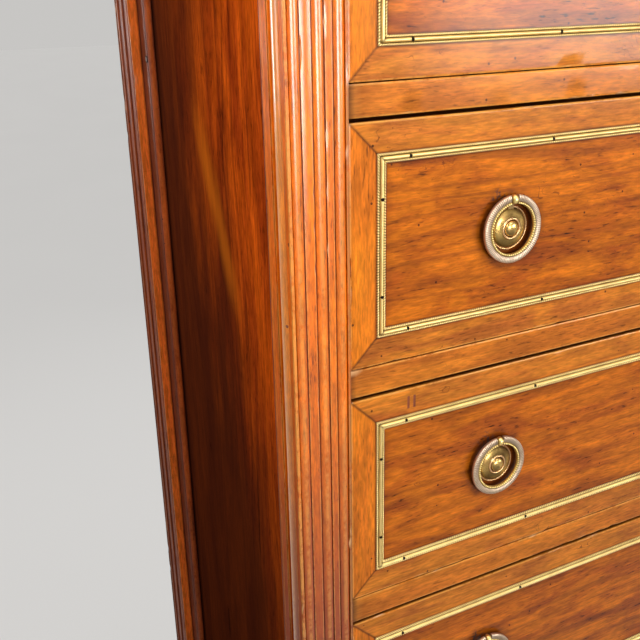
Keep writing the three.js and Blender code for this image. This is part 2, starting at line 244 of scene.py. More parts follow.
def board(shape, low, high, finish=0, ease=0.6, step=0.0, axis=0):
    """A planed board between two corners, with eased edges, drawn along one axis in rings."""
    first, second = (number for number in range(3) if number != axis)
    u0, u1 = low[first], high[first]
    v0, v1 = low[second], high[second]
    rim = []
    for u, v, du, dv in ((u0, v0, 1, 1), (u1, v0, -1, 1), (u1, v1, -1, -1), (u0, v1, 1, -1)):
        pair = [(u, v + dv * ease), (u + du * ease, v)]
        rim.extend(pair if du * dv > 0 else pair[::-1])
    start, end = low[axis], high[axis]
    rings = []
    for stop in (start, *steps(start + ease, end - ease, step or end - start), end):
        inset = ease if stop in (start, end) else 0.0
        ring = []
        for u, v in rim:
            point = [0.0, 0.0, 0.0]
            point[axis] = stop
            point[first] = u + math.copysign(inset, (u0 + u1) / 2 - u)
            point[second] = v + math.copysign(inset, (v0 + v1) / 2 - v)
            ring.append((*point, BOARD_RUB_AND_HIGHLIGHT, 0.0, 0.0))
        rings.append(ring)
    shape.skin(rings, caps=True, finish=finish)


def turned(shape, profile, sides, place, finish=0, patina=None, bored=False):
    """A profile of (radius, height, arris, grime) turned about an axis and set down by place. A
    bored one is a loop round an open axis."""
    rings = []
    for radius, height, arris, grime in profile:
        ring = []
        for angle in evenly(0.0, 2 * math.pi, sides)[:-1]:
            # For the plates, patina adds painted dark reflection and shade to the grime.
            dirt_and_shade = max(grime, patina(radius, angle)) if patina else grime
            point = place(radius * math.cos(angle), radius * math.sin(angle), height)
            ring.append((*point, arris, dirt_and_shade, 0.0))
        rings.append(ring)
    shape.skin(rings, looped=bored, caps=not bored, finish=finish)


def facing(x, y, z, out=-1):
    """Sets a turned profile down at a point, with its height to the front, or to the back if out is 1."""
    return lambda a, b, height: (x + a, y + out * height, z + b)


def on_upright(corner, columns):
    """Whether a point of a mitred ring lies on its second or fourth side."""
    first, second = (len(shares) - 1 for shares in columns)
    return first <= corner < first + second or corner >= 2 * first + second


def even_columns(width, height):
    """Shares along the two sides of a rectangle, for mitred_ring."""
    return [evenly(0.0, 1.0, round(side / COLUMN_STEP)) for side in (width, height)]


def mitred_ring(box, inset, columns):
    """Points round a rectangle (u0, u1, v0, v1) drawn in by inset, as (u, v, side, share)."""
    u0, u1, v0, v1 = box[0] + inset, box[1] - inset, box[2] + inset, box[3] - inset
    ends = [((u0, v0), (u1, v0)), ((u1, v0), (u1, v1)), ((u1, v1), (u0, v1)), ((u0, v1), (u0, v0))]
    ring = []
    for side, (start, end) in enumerate(ends):
        for share in columns[side % 2][:-1]:
            u = start[0] + (end[0] - start[0]) * share
            v = start[1] + (end[1] - start[1]) * share
            ring.append((u, v, side, share))
    return ring


# Materials. A small helper adds nodes and feeds their sockets by name.

def linear(color):
    """A colour as the eye reads it, 0 to 255, turned into the shares of light that a shader wants."""
    shares = [value / 255 for value in color]
    return [share / 12.92 if share <= 0.04045 else ((share + 0.055) / 1.055) ** 2.4 for share in shares]


class Nodes:
    """Adds nodes to one tree and links or sets their inputs."""

    def __init__(self, tree):
        self.tree = tree

    def add(self, kind, inputs=None, **settings):
        node = self.tree.nodes.new("ShaderNode" + kind)
        for name, value in settings.items():
            setattr(node, name, value)
        self.fill(node, inputs or {})
        return node

    def fill(self, node, inputs):
        for socket, value in inputs.items():
            self.feed(node.inputs[socket], value)

    def feed(self, socket, value):
        """Links or sets one input. A colour is given as the eye reads it, 0 to 255."""
        if isinstance(value, bpy.types.NodeSocket):
            self.tree.links.new(value, socket)
        elif socket.type == "RGBA":
            socket.default_value = (*linear(value), 1.0)
        else:
            socket.default_value = value

    def math(self, operation, first, second=0.0, clamp=False):
        node = self.add("Math", {0: first, 1: second}, operation=operation, use_clamp=clamp)
        return node.outputs[0]

    def plus(self, first, second):
        return self.math("ADD", first, second)

    def minus(self, first, second):
        return self.math("SUBTRACT", first, second)

    def times(self, first, second):
        return self.math("MULTIPLY", first, second)

    def apart(self, first, second):
        """How far two values are from each other."""
        return self.math("ABSOLUTE", self.minus(first, second))

    def rise(self, value, low, high, to_low=0.0, to_high=1.0):
        """A smooth step from to_low to to_high as value goes from low to high."""
        inputs = {"Value": value, "From Min": low, "From Max": high, "To Min": to_low, "To Max": to_high}
        return self.add("MapRange", inputs, interpolation_type="SMOOTHSTEP").outputs[0]

    def mix(self, share, first, second, blend="MIX"):
        node = self.add("Mix", {0: share, 6: first, 7: second}, data_type="RGBA", blend_type=blend)
        return node.outputs[2]

    def lay(self, color, over, mask, amount):
        """Lays one colour over another, by amount where mask is 1."""
        return self.mix(self.times(mask, amount), color, over)

    def noise(self, place, scale, detail=2.0, roughness=0.5, distortion=0.0):
        inputs = {
            "Vector": place,
            "Scale": scale,
            "Detail": detail,
            "Roughness": roughness,
            "Distortion": distortion,
        }
        return self.add("TexNoise", inputs).outputs["Fac"]

    def split(self, vector):
        return self.add("SeparateXYZ", {0: vector}).outputs

    def drawn_out(self, place, share):
        """The place with Z cut to a share of itself, which draws a pattern out along the grain."""
        scale = self.add("CombineXYZ", {0: 1.0, 1: 1.0, 2: share}).outputs[0]
        return self.add("VectorMath", {0: place, 1: scale}, operation="MULTIPLY").outputs[0]

    def marks(self):
        """The arris, grime and chip of the points, as three values."""
        return self.split(self.add("Attribute", attribute_name="marks").outputs["Vector"])


def node_group(name, draw, colors, values):
    """A shader node group with a place, colours and values as inputs. draw gets the nodes and the
    inputs, and gives the outputs by name."""
    tree = bpy.data.node_groups.new(name, "ShaderNodeTree")
    kinds = {"place": "Vector", **dict.fromkeys(colors, "Color"), **dict.fromkeys(values, "Float")}
    for label, kind in kinds.items():
        tree.interface.new_socket(label, in_out="INPUT", socket_type="NodeSocket" + kind)
    made = draw(Nodes(tree), tree.nodes.new("NodeGroupInput").outputs)
    for label, socket in made.items():
        kind = "Color" if socket.type == "RGBA" else "Float"
        tree.interface.new_socket(label, in_out="OUTPUT", socket_type="NodeSocket" + kind)
    sink = tree.nodes.new("NodeGroupOutput")
    for label, socket in made.items():
        tree.links.new(socket, sink.inputs[label])
    return tree


# Patterns in the wood. Scales are repeats in a metre, and other lengths are in metres. A band is
# where in the range of a noise a pattern begins and is full. Shades multiply the colour.
FIGURE_BAND = (0.38, 0.66)
LINE_BAND = (0.44, 0.64)
GRAIN_BEND = 0.055
GRAIN_SLOPE = 0.7
FIBRE_STRETCH = 0.16
FIBRE_SCALE = 760.0
FIBRE_SHADES = (0.80, 1.16)
STREAK_SCALE = 170.0
STREAK_SHADES = (0.78, 1.18)
PORE_STRETCH = 0.17
PORE_SCALE = 620.0
PORE_BAND = (0.58, 0.70)
PORES_IN_PALE_WOOD = 0.25


def draw_timber(nodes, given):
    """Grain along Z of the place: smoky figure, streaks, fine fibres and open pores."""
    place = given["place"]
    drawn = nodes.drawn_out(place, given["figure_stretch"])
    smoke = nodes.rise(nodes.noise(drawn, given["figure_scale"], 6.0, 0.6, 0.7), *FIGURE_BAND)
    bend = nodes.noise(nodes.drawn_out(place, 0.1), 22.0)
    x, y, _ = nodes.split(place)
    bent = nodes.plus(nodes.plus(x, nodes.times(bend, GRAIN_BEND)), nodes.times(y, GRAIN_SLOPE))
    lined = nodes.add("CombineXYZ", {0: bent}).outputs[0]
    lines = nodes.rise(nodes.noise(lined, given["line_scale"], 3.0, 0.62), *LINE_BAND)
    short = nodes.drawn_out(place, FIBRE_STRETCH)
    streak = nodes.noise(short, STREAK_SCALE, 4.0, 0.62)
    fibre = nodes.noise(short, FIBRE_SCALE, 3.0, 0.6)
    pore = nodes.rise(nodes.noise(nodes.drawn_out(place, PORE_STRETCH), PORE_SCALE), *PORE_BAND)
    pore = nodes.times(pore, nodes.rise(smoke, 0.0, 1.0, PORES_IN_PALE_WOOD, 1.0))
    color = nodes.lay(given["ground"], given["figure"], smoke, given["figure_amount"])
    color = nodes.lay(color, given["line"], lines, given["line_amount"])
    shade = nodes.rise(streak, 0.3, 0.7, *STREAK_SHADES)
    shade = nodes.times(shade, nodes.rise(fibre, 0.3, 0.7, *FIBRE_SHADES))
    shade = nodes.minus(shade, nodes.times(pore, given["pore_amount"]))
    grey = nodes.add("CombineColor", {0: shade, 1: shade, 2: shade}).outputs[0]
    color = nodes.mix(1.0, color, grey, "MULTIPLY")
    return {"color": color, "height": nodes.minus(nodes.times(fibre, 0.5), pore)}


RUB_AND_HIGHLIGHT_BAND = (0.72, 1.12)
SPECK_RADII = (0.05, 0.17)
SPECK_DARKNESS = 0.82
SCRATCH_SCALE = 46.0
SCRATCH_EDGES = (0.0016, 0.0048)
SCRATCHED_BAND = (0.54, 0.66)
DULL_GRIME = 0.3
DULL_CHIP = 0.35
UNEVEN_DULLNESS = (-0.04, 0.10)


def draw_age(nodes, given):
    """Edges lightened by wear and as painted highlight, wax and soiling in hollows with painted shade in
    some, splinters, specks and scratches over a timber.
    """
    place = given["place"]
    arris, grime, chip = nodes.marks()
    broken = nodes.noise(place, 260.0, 4.0, 0.62)
    patchy = nodes.noise(place, 34.0)
    # Lightening on the arrises: partly wear, partly painted highlight.
    rubbed = nodes.times(arris, nodes.rise(nodes.plus(broken, patchy), *RUB_AND_HIGHLIGHT_BAND))
    color = nodes.lay(given["color"], given["rubbed"], rubbed, given["rub_amount"])
    # Darkening by the grime mark: partly wax and soiling, partly painted shade on hidden faces and on the
    # rear posts.
    dirt_and_shade_mask = nodes.times(grime, nodes.rise(patchy, 0.2, 0.62, 0.72, 1.0))
    color = nodes.lay(color, given["grime"], dirt_and_shade_mask, given["grime_amount"])
    cells = nodes.add("TexVoronoi", {"Vector": place, "Scale": given["speck_scale"]}).outputs
    chance, size, _ = nodes.split(cells["Color"])
    dot = nodes.math("LESS_THAN", cells["Distance"], nodes.rise(size, 0.0, 1.0, *SPECK_RADII))
    speck = nodes.times(dot, nodes.math("LESS_THAN", chance, given["speck_share"]))
    color = nodes.lay(color, given["grime"], speck, SPECK_DARKNESS)
    hair = nodes.apart(nodes.noise(nodes.drawn_out(place, 1.7), SCRATCH_SCALE, 1.0, 0.5, 1.6), 0.5)
    scratched = nodes.rise(nodes.noise(place, 17.0), *SCRATCHED_BAND)
    scratch = nodes.times(nodes.rise(hair, *SCRATCH_EDGES, 1.0, 0.0), scratched)
    color = nodes.lay(color, given["grime"], scratch, given["scratch_amount"])
    color = nodes.mix(chip, color, given["splinter"])
    dull = nodes.plus(nodes.times(dirt_and_shade_mask, DULL_GRIME), nodes.times(chip, DULL_CHIP))
    dull = nodes.plus(dull, nodes.rise(nodes.noise(place, 60.0, 3.0), 0.35, 0.75, *UNEVEN_DULLNESS))
    return {"color": color, "dullness": dull, "height": nodes.times(nodes.plus(speck, scratch), -1.0)}


CLOUD_BAND = (0.38, 0.68)
FLECK_BAND = (0.52, 0.70)
FLECK_SCALE = 900.0
FLECK_AMOUNT = 0.35
BRASS_RUB_AND_HIGHLIGHT = 0.6
BRASS_GRIME_AND_SHADE = 0.92
CLOUD_DULLNESS = 0.16
GRIME_DULLNESS = 0.35


def draw_patina(nodes, given):
    """Old gilt brass: bright on worn crests, partly as painted highlight; brown in its hollows and in clouds;
    darker on the plates' domes as painted dark reflection.
    """
    place = given["place"]
    arris, grime, _ = nodes.marks()
    cloud = nodes.rise(nodes.noise(place, given["cloud_scale"], 4.0, 0.6), *CLOUD_BAND)
    fleck = nodes.rise(nodes.noise(place, FLECK_SCALE, 3.0, 0.6), *FLECK_BAND)
    color = nodes.lay(given["bright"], given["tarnish"], cloud, given["cloud_amount"])
    color = nodes.lay(color, given["tarnish"], fleck, FLECK_AMOUNT)
    color = nodes.lay(color, given["rubbed"], arris, BRASS_RUB_AND_HIGHLIGHT)
    color = nodes.lay(color, given["grime"], grime, BRASS_GRIME_AND_SHADE)
    dull = nodes.plus(nodes.times(cloud, CLOUD_DULLNESS), nodes.times(grime, GRIME_DULLNESS))
    return {"color": color, "dullness": dull, "height": nodes.times(fleck, -1.0)}


def draw_dark_foot(nodes, given):
    """A colour that darkens towards the floor."""
    height = nodes.split(given["place"])[2]
    low = nodes.rise(height, given["dark_below"], given["plain_above"], given["darkness"], 0.0)
    return {"color": nodes.mix(low, given["color"], given["low_color"])}


TIMBER = node_group(
    "timber",
    draw_timber,
    ["ground", "figure", "line"],
    ["figure_scale", "figure_stretch", "figure_amount", "line_scale", "line_amount", "pore_amount"],
)
AGE = node_group(
    "age",
    draw_age,
    ["color", "rubbed", "grime", "splinter"],
    ["rub_amount", "grime_amount", "speck_scale", "speck_share", "scratch_amount"],
)
PATINA = node_group(
    "patina", draw_patina, ["bright", "rubbed", "tarnish", "grime"], ["cloud_scale", "cloud_amount"]
)
DARK_FOOT = node_group(
    "dark foot", draw_dark_foot, ["color", "low_color"], ["dark_below", "plain_above", "darkness"]
)


def placed(group, nodes, place, values):
    """Puts a node group in a material. Each of its inputs gets the value of its own name."""
    node = nodes.tree.nodes.new("ShaderNodeGroup")
    node.node_tree = group
    given = {"place": place, **values}
    for socket in node.inputs:
        nodes.feed(socket, given[socket.name])
    return node.outputs


def new_material(name):
    """A material with its nodes, its shader and the place on the piece at rest."""
    material = bpy.data.materials.new(name)
    material.use_nodes = True
    nodes = Nodes(material.node_tree)
    place = nodes.add("TexCoord").outputs["Object"]
    return material, nodes, material.node_tree.nodes["Principled BSDF"], place


# The polished wood. Every other wood is this one with some values changed.
POLISHED = {
    "ground": (236, 130, 18),
    "figure": (200, 88, 14),
    "line": (150, 62, 20),
    "figure_scale": 40.0,
    "figure_stretch": 0.2,
    "figure_amount": 0.5,
    "line_scale": 150.0,
    "line_amount": 0.2,
    "pore_amount": 0.45,
    "rubbed": (244, 172, 78),
    "rub_amount": 0.6,
    "grime": (50, 16, 8),
    "grime_amount": 0.9,
    "splinter": (230, 178, 124),
    "speck_scale": 150.0,
    "speck_share": 0.04,
    "scratch_amount": 0.35,
}


# Tones: darker or paler parts of a wood, some of them painted shade, in metres

OLD_POLISH = (52, 44, 44)
SHADOW_EDGES = (0.010, 0.024)
SHADOW_UNEVENNESS = 0.016
SHADOW_DARKNESS = 0.72
SMUDGE_OUTWARD = 0.0085
SMUDGE_UP = 0.0205
SMUDGE_EDGES = (0.0030, 0.0110)
SMUDGE_DARKNESS = 0.85
CRUMB_SCALE = 420.0
CRUMB_BAND = (0.48, 0.58)


def pull_shadow_and_dirt(nodes, place, color):
    """Painted shadow of the ring round each pull, over darker polish that hands have left there, and crumbs
    of old polish above, where hands and cleaning have left it.
    Heights are counted from one pitch below the lowest pull."""
    pitch = PITCH * MM
    under_lowest = (DRAWER_LOW.z + DRAWER_HEIGHT / 2 - DRAWERS * PITCH) * MM
    x, _, z = nodes.split(place)
    across = nodes.minus(nodes.math("ABSOLUTE", x), PULL_X * MM)
    wrapped = nodes.math("MODULO", nodes.minus(z, under_lowest - pitch / 2), pitch)
    up = nodes.minus(wrapped, pitch / 2)
    squared = nodes.plus(nodes.times(across, across), nodes.times(up, up))
    uneven = nodes.times(nodes.noise(place, 70.0, 3.0), SHADOW_UNEVENNESS)
    away = nodes.minus(nodes.math("SQRT", squared), uneven)
    shadow = nodes.rise(away, *SHADOW_EDGES, 1.0, 0.0)
    off_smudge = nodes.plus(nodes.apart(across, SMUDGE_OUTWARD), nodes.apart(up, SMUDGE_UP))
    crumbs = nodes.rise(nodes.noise(place, CRUMB_SCALE, 3.0, 0.6), *CRUMB_BAND)
    smudge = nodes.times(nodes.rise(off_smudge, *SMUDGE_EDGES, 1.0, 0.0), crumbs)
    color = nodes.lay(color, POLISHED["grime"], shadow, SHADOW_DARKNESS)
    return nodes.lay(color, OLD_POLISH, smudge, SMUDGE_DARKNESS)


POST_FOOT = {"low_color": (142, 52, 10), "dark_below": 0.62, "plain_above": 0.9, "darkness": 0.85}


def dark_foot(nodes, place, color):
    """Darker colour on the low part of the posts."""
    return placed(DARK_FOOT, nodes, place, {**POST_FOOT, "color": color})["color"]


# Painted shade on the side panels.
SIDE_SHADE = (66, 28, 16)
SIDE_SHADE_WANDER = 0.26
SIDE_SHADE_HEIGHTS = (0.55, 1.02)
SIDE_SHADE_SHIFTS = (0.15, -0.01)
SIDE_SHADE_EDGES = (0.07, 0.24)
SIDE_SHADE_DARKNESS = 0.9


def side_shade_and_streak(nodes, place, color):
    """Painted shade: the panel darkens towards the back and the floor, with an uneven edge, where less light
    reaches it; and a golden streak in the wood.
    """
    _, y, z = nodes.split(place)
    wander = nodes.noise(nodes.drawn_out(place, 0.22), 13.0, 4.0, 0.6)
    edge = nodes.plus(y, nodes.times(wander, SIDE_SHADE_WANDER))
    edge = nodes.plus(edge, nodes.rise(z, *SIDE_SHADE_HEIGHTS, *SIDE_SHADE_SHIFTS))
    color = nodes.mix(nodes.rise(edge, *SIDE_SHADE_EDGES, 0.0, SIDE_SHADE_DARKNESS), color, SIDE_SHADE)
    return golden_streak(nodes, place, color)


GOLDEN = (214, 112, 24)
STREAK_Y = -0.004
STREAK_Z = 0.92
STREAK_LEAN = 0.42
STREAK_WANDER = 0.03
STREAK_EDGES = (0.001, 0.019)
STREAK_ENDS = (0.03, 0.085)
STREAK_STRENGTH = 0.5


def golden_streak(nodes, place, color):
    """A long pale streak, leaning back as it rises, with soft uneven ends."""
    _, y, z = nodes.split(place)
    rise = nodes.minus(z, STREAK_Z)
    line = nodes.plus(STREAK_Y, nodes.times(rise, STREAK_LEAN))
    wander = nodes.noise(nodes.drawn_out(place, 0.25), 30.0, 3.0, 0.6)
    line = nodes.plus(line, nodes.times(nodes.minus(wander, 0.5), STREAK_WANDER))
    narrow = nodes.rise(nodes.apart(y, line), *STREAK_EDGES, 1.0, 0.0)
    length = nodes.rise(nodes.math("ABSOLUTE", rise), *STREAK_ENDS, 1.0, 0.0)
    return nodes.lay(color, GOLDEN, nodes.times(narrow, length), STREAK_STRENGTH)


ALONG_Z = (0.0, 0.0, 0.0)
ALONG_X = (0.0, math.radians(90), 0.0)
ALONG_Y = (math.radians(90), 0.0, 0.0)
SATIN = (1.5, 0.18)
TIMBER_RELIEF = 0.35


def wood(name, grain=ALONG_Z, roughness=0.34, coat=0.45, shine=0.02, gloss=SATIN, tone=None, **changes):
    """A timber with its marks of age. gloss is the polish's IOR and roughness, tone is one of the
    tones above, and the changes are to the values of the polished wood."""
    material, nodes, shader, place = new_material(name)
    look = {**POLISHED, **changes}
    along = nodes.add("Mapping", {"Vector": place, "Rotation": grain}).outputs[0]
    timber = placed(TIMBER, nodes, along, look)
    color = tone(nodes, place, timber["color"]) if tone else timber["color"]
    age = placed(AGE, nodes, place, {**look, "color": color})
    relief = nodes.plus(nodes.times(timber["height"], TIMBER_RELIEF), age["height"])
    bump = nodes.add("Bump", {"Height": relief, "Strength": 0.35, "Distance": 0.0004})
    nodes.fill(shader, {
        "Base Color": age["color"],
        "Roughness": nodes.plus(age["dullness"], roughness),
        "Normal": bump.outputs[0],
        "Specular IOR Level": shine,
        "Coat Weight": coat,
        "Coat IOR": gloss[0],
        "Coat Roughness": gloss[1],
    })
    return material


POST_WOOD = wood(
    "post walnut", roughness=0.3, coat=0.8, gloss=(1.75, 0.22), tone=dark_foot,
    ground=(250, 128, 10), figure=(216, 90, 8), grime=(96, 30, 10), speck_share=0.06,
)
POST_SIDE_LOOK = {
    "line": (196, 90, 24), "figure_amount": 0.3, "line_amount": 0.12, "pore_amount": 0.1,
    "grime": (96, 30, 10), "scratch_amount": 0.1,
}
POST_SIDE_WOOD = wood(
    "post side walnut", coat=0.0, tone=dark_foot,
    ground=(226, 106, 16), figure=(190, 74, 10), **POST_SIDE_LOOK,
)
WIDE_REED_WOOD = wood(
    "wide reed walnut", roughness=0.3, coat=0.9, shine=0.01, gloss=(1.75, 0.2), tone=dark_foot,
    ground=(255, 146, 20), figure=(236, 108, 12), **POST_SIDE_LOOK,
)
# Painted shade: the rear posts' reeds and strip are darker copies of the walnut, for the light that falls off
# towards the back. The strip wood also colours the patches on a drawer.
SHADED_REAR_REED_WOOD = wood(
    "rear reed walnut", coat=0.06,
    ground=(150, 66, 30), figure=(110, 44, 22), line=(80, 30, 18),
    rubbed=(214, 136, 84), grime=(54, 22, 16), splinter=(206, 152, 112),
)
RETURN_WOOD = wood(
    "return walnut", coat=0.2,
    ground=(255, 126, 46), figure=(240, 98, 38), rubbed=(252, 178, 106),
    figure_amount=0.3, line_amount=0.1, pore_amount=0.15, speck_share=0.0,
)
SHADED_STRIP_WOOD = wood(
    "strip walnut", roughness=0.42, coat=0.4, gloss=(1.5, 0.25),
    ground=(124, 58, 34), figure=(92, 40, 28), line=(66, 30, 24), rubbed=(170, 104, 76), grime=(50, 24, 20),
)
RAIL_LOOK = {"ground": (218, 126, 34), "figure": (168, 80, 26), "figure_scale": 44.0, "speck_share": 0.07}
TOP_FINISH = {"roughness": 0.42, "coat": 0.12, "shine": 0.05, "gloss": (1.5, 0.4)}
RAIL_WOOD = wood("rail walnut", ALONG_X, **RAIL_LOOK)
TOP_WOOD = wood("top walnut", ALONG_X, **TOP_FINISH, **RAIL_LOOK)
TOP_END_WOOD = wood("top end walnut", ALONG_Y, **TOP_FINISH, **RAIL_LOOK)
BAND_WOOD = wood(
    "band walnut", ALONG_X,
    ground=(214, 126, 36), figure=(166, 82, 34), figure_scale=56.0, figure_amount=0.6,
    figure_stretch=0.3, line_amount=0.35, speck_share=0.14, scratch_amount=0.65,
)
STILE_WOOD = wood("stile walnut", ground=(230, 128, 26), figure=(196, 92, 22), speck_share=0.12)
FIELD_WOOD = wood(
    "field walnut", ALONG_X, roughness=0.36, tone=pull_shadow_and_dirt,
    ground=(210, 112, 18), figure=(146, 60, 16), line=(98, 38, 16),
    figure_scale=50.0, figure_stretch=0.3, figure_amount=0.75, line_scale=120.0, line_amount=0.42,
    pore_amount=0.7, speck_share=0.10, scratch_amount=0.55,
)
# Its tone paints shade towards the back and the floor of each panel, and adds a golden streak.
SIDE_WOOD = wood(
    "side walnut", roughness=0.5, coat=0.0, shine=0.0, tone=side_shade_and_streak,
    ground=(220, 92, 18), figure=(140, 44, 14), line=(84, 24, 8), grime=(34, 14, 8),
    figure_scale=30.0, figure_stretch=0.15, figure_amount=0.8, line_scale=260.0, line_amount=0.5,
    pore_amount=0.6, speck_share=0.015,
)
BEAD_WOOD = wood(
    "bead walnut", roughness=0.4, coat=0.06, shine=0.05,
    ground=(176, 76, 24), figure=(120, 44, 16), line=(84, 28, 12), rubbed=(206, 112, 54),
)
SIDE_RAIL_WOOD = wood(
    "side rail walnut", ALONG_Y, roughness=0.46, coat=0.02, shine=0.01,
    ground=(206, 94, 26), figure=(146, 52, 18), line=(96, 32, 14), figure_scale=30.0, line_amount=0.4,
)
PLAIN_LOOK = {
    "roughness": 0.62, "coat": 0.0, "shine": 0.3,
    "ground": (206, 158, 100), "figure": (178, 126, 76), "line": (140, 96, 56), "rubbed": (204, 170, 120),
    "grime": (84, 58, 36), "splinter": (212, 184, 140), "figure_scale": 24.0, "line_amount": 0.4,
    "rub_amount": 0.4, "speck_share": 0.03, "scratch_amount": 0.2,
}
PLAIN_WOOD = wood("plain oak", ALONG_Y, **PLAIN_LOOK)
PLAIN_CROSS_WOOD = wood("plain oak across", ALONG_X, **PLAIN_LOOK)
BACK_WOOD = wood(
    "back boards", roughness=0.72, coat=0.0, shine=0.3,
    ground=(158, 122, 80), figure=(124, 90, 58), line=(92, 64, 40), rubbed=(178, 146, 104),
    grime=(62, 44, 30), splinter=(186, 156, 116), figure_scale=9.0, line_amount=0.5,
    rub_amount=0.4, speck_share=0.05, scratch_amount=0.2,
)
PLUG_WOOD = wood(
    "grey filler", roughness=0.6, coat=0.0, shine=0.3,
    ground=(120, 112, 108), figure=(96, 88, 84), line=(80, 70, 66), rubbed=(150, 142, 138),
)


def brass(name, roughness, bump_depth=0.0001, **look):
    """Aged brass, with its colour and dullness from the patina."""
    material, nodes, shader, place = new_material(name)
    patina = placed(PATINA, nodes, place, look)
    bump = nodes.add("Bump", {"Height": patina["height"], "Strength": 0.3, "Distance": bump_depth})
    nodes.fill(shader, {
        "Base Color": patina["color"],
        "Roughness": nodes.plus(patina["dullness"], roughness),
        "Normal": bump.outputs[0],
        "Metallic": 1.0,
    })
    return material


MOULDING_BRASS = brass(
    "moulding brass", 0.32, 0.00015, cloud_scale=60.0, cloud_amount=0.5,
    bright=(246, 214, 138), rubbed=(255, 234, 164), tarnish=(196, 150, 84), grime=(54, 34, 18),
)
PLATE_BRASS = brass(
    "plate brass", 0.16, cloud_scale=110.0, cloud_amount=0.7,
    bright=(212, 176, 98), rubbed=(236, 190, 150), tarnish=(128, 92, 48), grime=(52, 34, 16),
)
RING_BRASS = brass(
    "ring brass", 0.34, cloud_scale=120.0, cloud_amount=0.6,
    bright=(220, 194, 166), rubbed=(250, 234, 210), tarnish=(168, 140, 114), grime=(92, 70, 54),
)
GILT_BRASS = brass(
    "gilt brass", 0.3, cloud_scale=120.0, cloud_amount=0.4,
    bright=(236, 200, 112), rubbed=(255, 232, 160), tarnish=(190, 146, 76), grime=(70, 44, 22),
)
PIN_IRON = brass(
    "pin iron", 0.5, cloud_scale=400.0, cloud_amount=0.6,
    bright=(70, 54, 42), rubbed=(104, 84, 64), tarnish=(44, 32, 26), grime=(26, 18, 14),
)


# Posts. An outline runs from the outer front corner: x in to the drawers, y to the back. Each of
# its points names the finish of the face that starts there.

FRONT_FINISHES = [POST_WOOD, POST_SIDE_WOOD, WIDE_REED_WOOD]
REAR_FINISHES = [SHADED_REAR_REED_WOOD, RETURN_WOOD, SHADED_STRIP_WOOD, BACK_WOOD]


def finished(points, finish):
    """The points (x, y, arris, grime) with the number of their finish."""
    return [(*point, finish) for point in points]


def reed(start, width, base, rise, clear_of_dirt_and_shade=2.4):
    """A half-round reed across a stretch of face, as (along, sunk, arris, grime). The higher the last
    argument is, the less of its sides is darkened: by soiling in the quirks, and on the rear posts
    also as painted shade."""
    points = []
    for angle in evenly(0.0, math.pi, REED_STEPS):
        crown = math.sin(angle)
        along = start + width * (1 - math.cos(angle)) / 2
        rubbed = CREST_RUB_AND_HIGHLIGHT * ramp(crown, 0.85, 1.0)
        points.append((along, base - rise * crown, rubbed, max(0.0, 1 - clear_of_dirt_and_shade * crown)))
    return points


def flat(start, end, sunk, camber=0.0):
    """A flat with a lightened arris at both ends, partly wear and partly painted highlight. Camber is how far
    its edges have worn down.
    """
    stops = [start, *steps(start + ARRIS_WIDTH, end - ARRIS_WIDTH, ARRIS_WIDTH), end]
    points = []
    for along in stops:
        from_middle = (2 * along - start - end) / (end - start)
        arris = 1.0 if along in (start, end) else 0.0
        points.append((along, sunk + camber * from_middle**2, arris, 0.0))
    return points


def three_reeds(width, clear_of_dirt_and_shade=2.4):
    """Three reeds with a wide and a narrow flat between them, along one face of a post."""
    carved = 2 * FILLET_WIDTH + 5 * QUIRK_WIDTH + 3 * REED_WIDTH
    flats = [OUTER_FLAT_WIDTH, width - carved - OUTER_FLAT_WIDTH]
    points = [(0.0, 0.0, 1.0, 0.0), (FILLET_WIDTH / 2, 0.0, 0.7, 0.0), (FILLET_WIDTH, 0.0, 1.0, 0.0)]
    points.append((FILLET_WIDTH, QUIRK_DEPTH, 0.0, 1.0))
    along = FILLET_WIDTH + QUIRK_WIDTH
    for number in range(3):
        points += reed(along, REED_WIDTH, QUIRK_DEPTH, QUIRK_DEPTH, clear_of_dirt_and_shade)
        along += REED_WIDTH
        if number < len(flats):
            along += QUIRK_WIDTH
            points.append((along, QUIRK_DEPTH, 0.0, 1.0))
            points += flat(along, along + flats[number], FLAT_SUNK, FLAT_CAMBERS[number])
            along += flats[number]
            points.append((along, QUIRK_DEPTH, 0.0, 1.0))
            along += QUIRK_WIDTH
    points += [(along, 0.0, 1.0, 0.4), (width, 0.0, 0.8, 0.7)]
    return points


def wide_reed(depth):
    """The side face of a front post, from the front corner back: flat, wide reed, astragal, band."""
    flat_end = FILLET_WIDTH + SIDE_FLAT_WIDTH
    reed_start = flat_end + QUIRK_WIDTH
    astragal_start = reed_start + SIDE_REED_WIDTH + QUIRK_WIDTH
    band_start = astragal_start + ASTRAGAL_WIDTH + QUIRK_WIDTH
    front_flat = [
        (0.0, 0.0, 1.0, 0.0),
        (FILLET_WIDTH, 0.0, 1.0, 0.0),
        (FILLET_WIDTH, FLAT_SUNK, 0.0, 0.8),
        (FILLET_WIDTH + ARRIS_WIDTH, FLAT_SUNK, 0.0, 0.0),
        (flat_end - ARRIS_WIDTH, FLAT_SUNK, 0.0, 0.0),
        (flat_end, FLAT_SUNK, 1.0, 0.0),
        (flat_end, SIDE_REED_RISE, 0.0, 1.0),
    ]
    astragal = [
        *reed(astragal_start, ASTRAGAL_WIDTH, SIDE_REED_RISE, QUIRK_DEPTH),
        (band_start, SIDE_REED_RISE, 0.0, 1.0),
        *flat(band_start, depth, FLAT_SUNK),
    ]
    return [
        *finished(front_flat, 1),
        *finished(reed(reed_start, SIDE_REED_WIDTH, SIDE_REED_RISE, SIDE_REED_RISE), 2),
        *finished(astragal, 1),
    ]


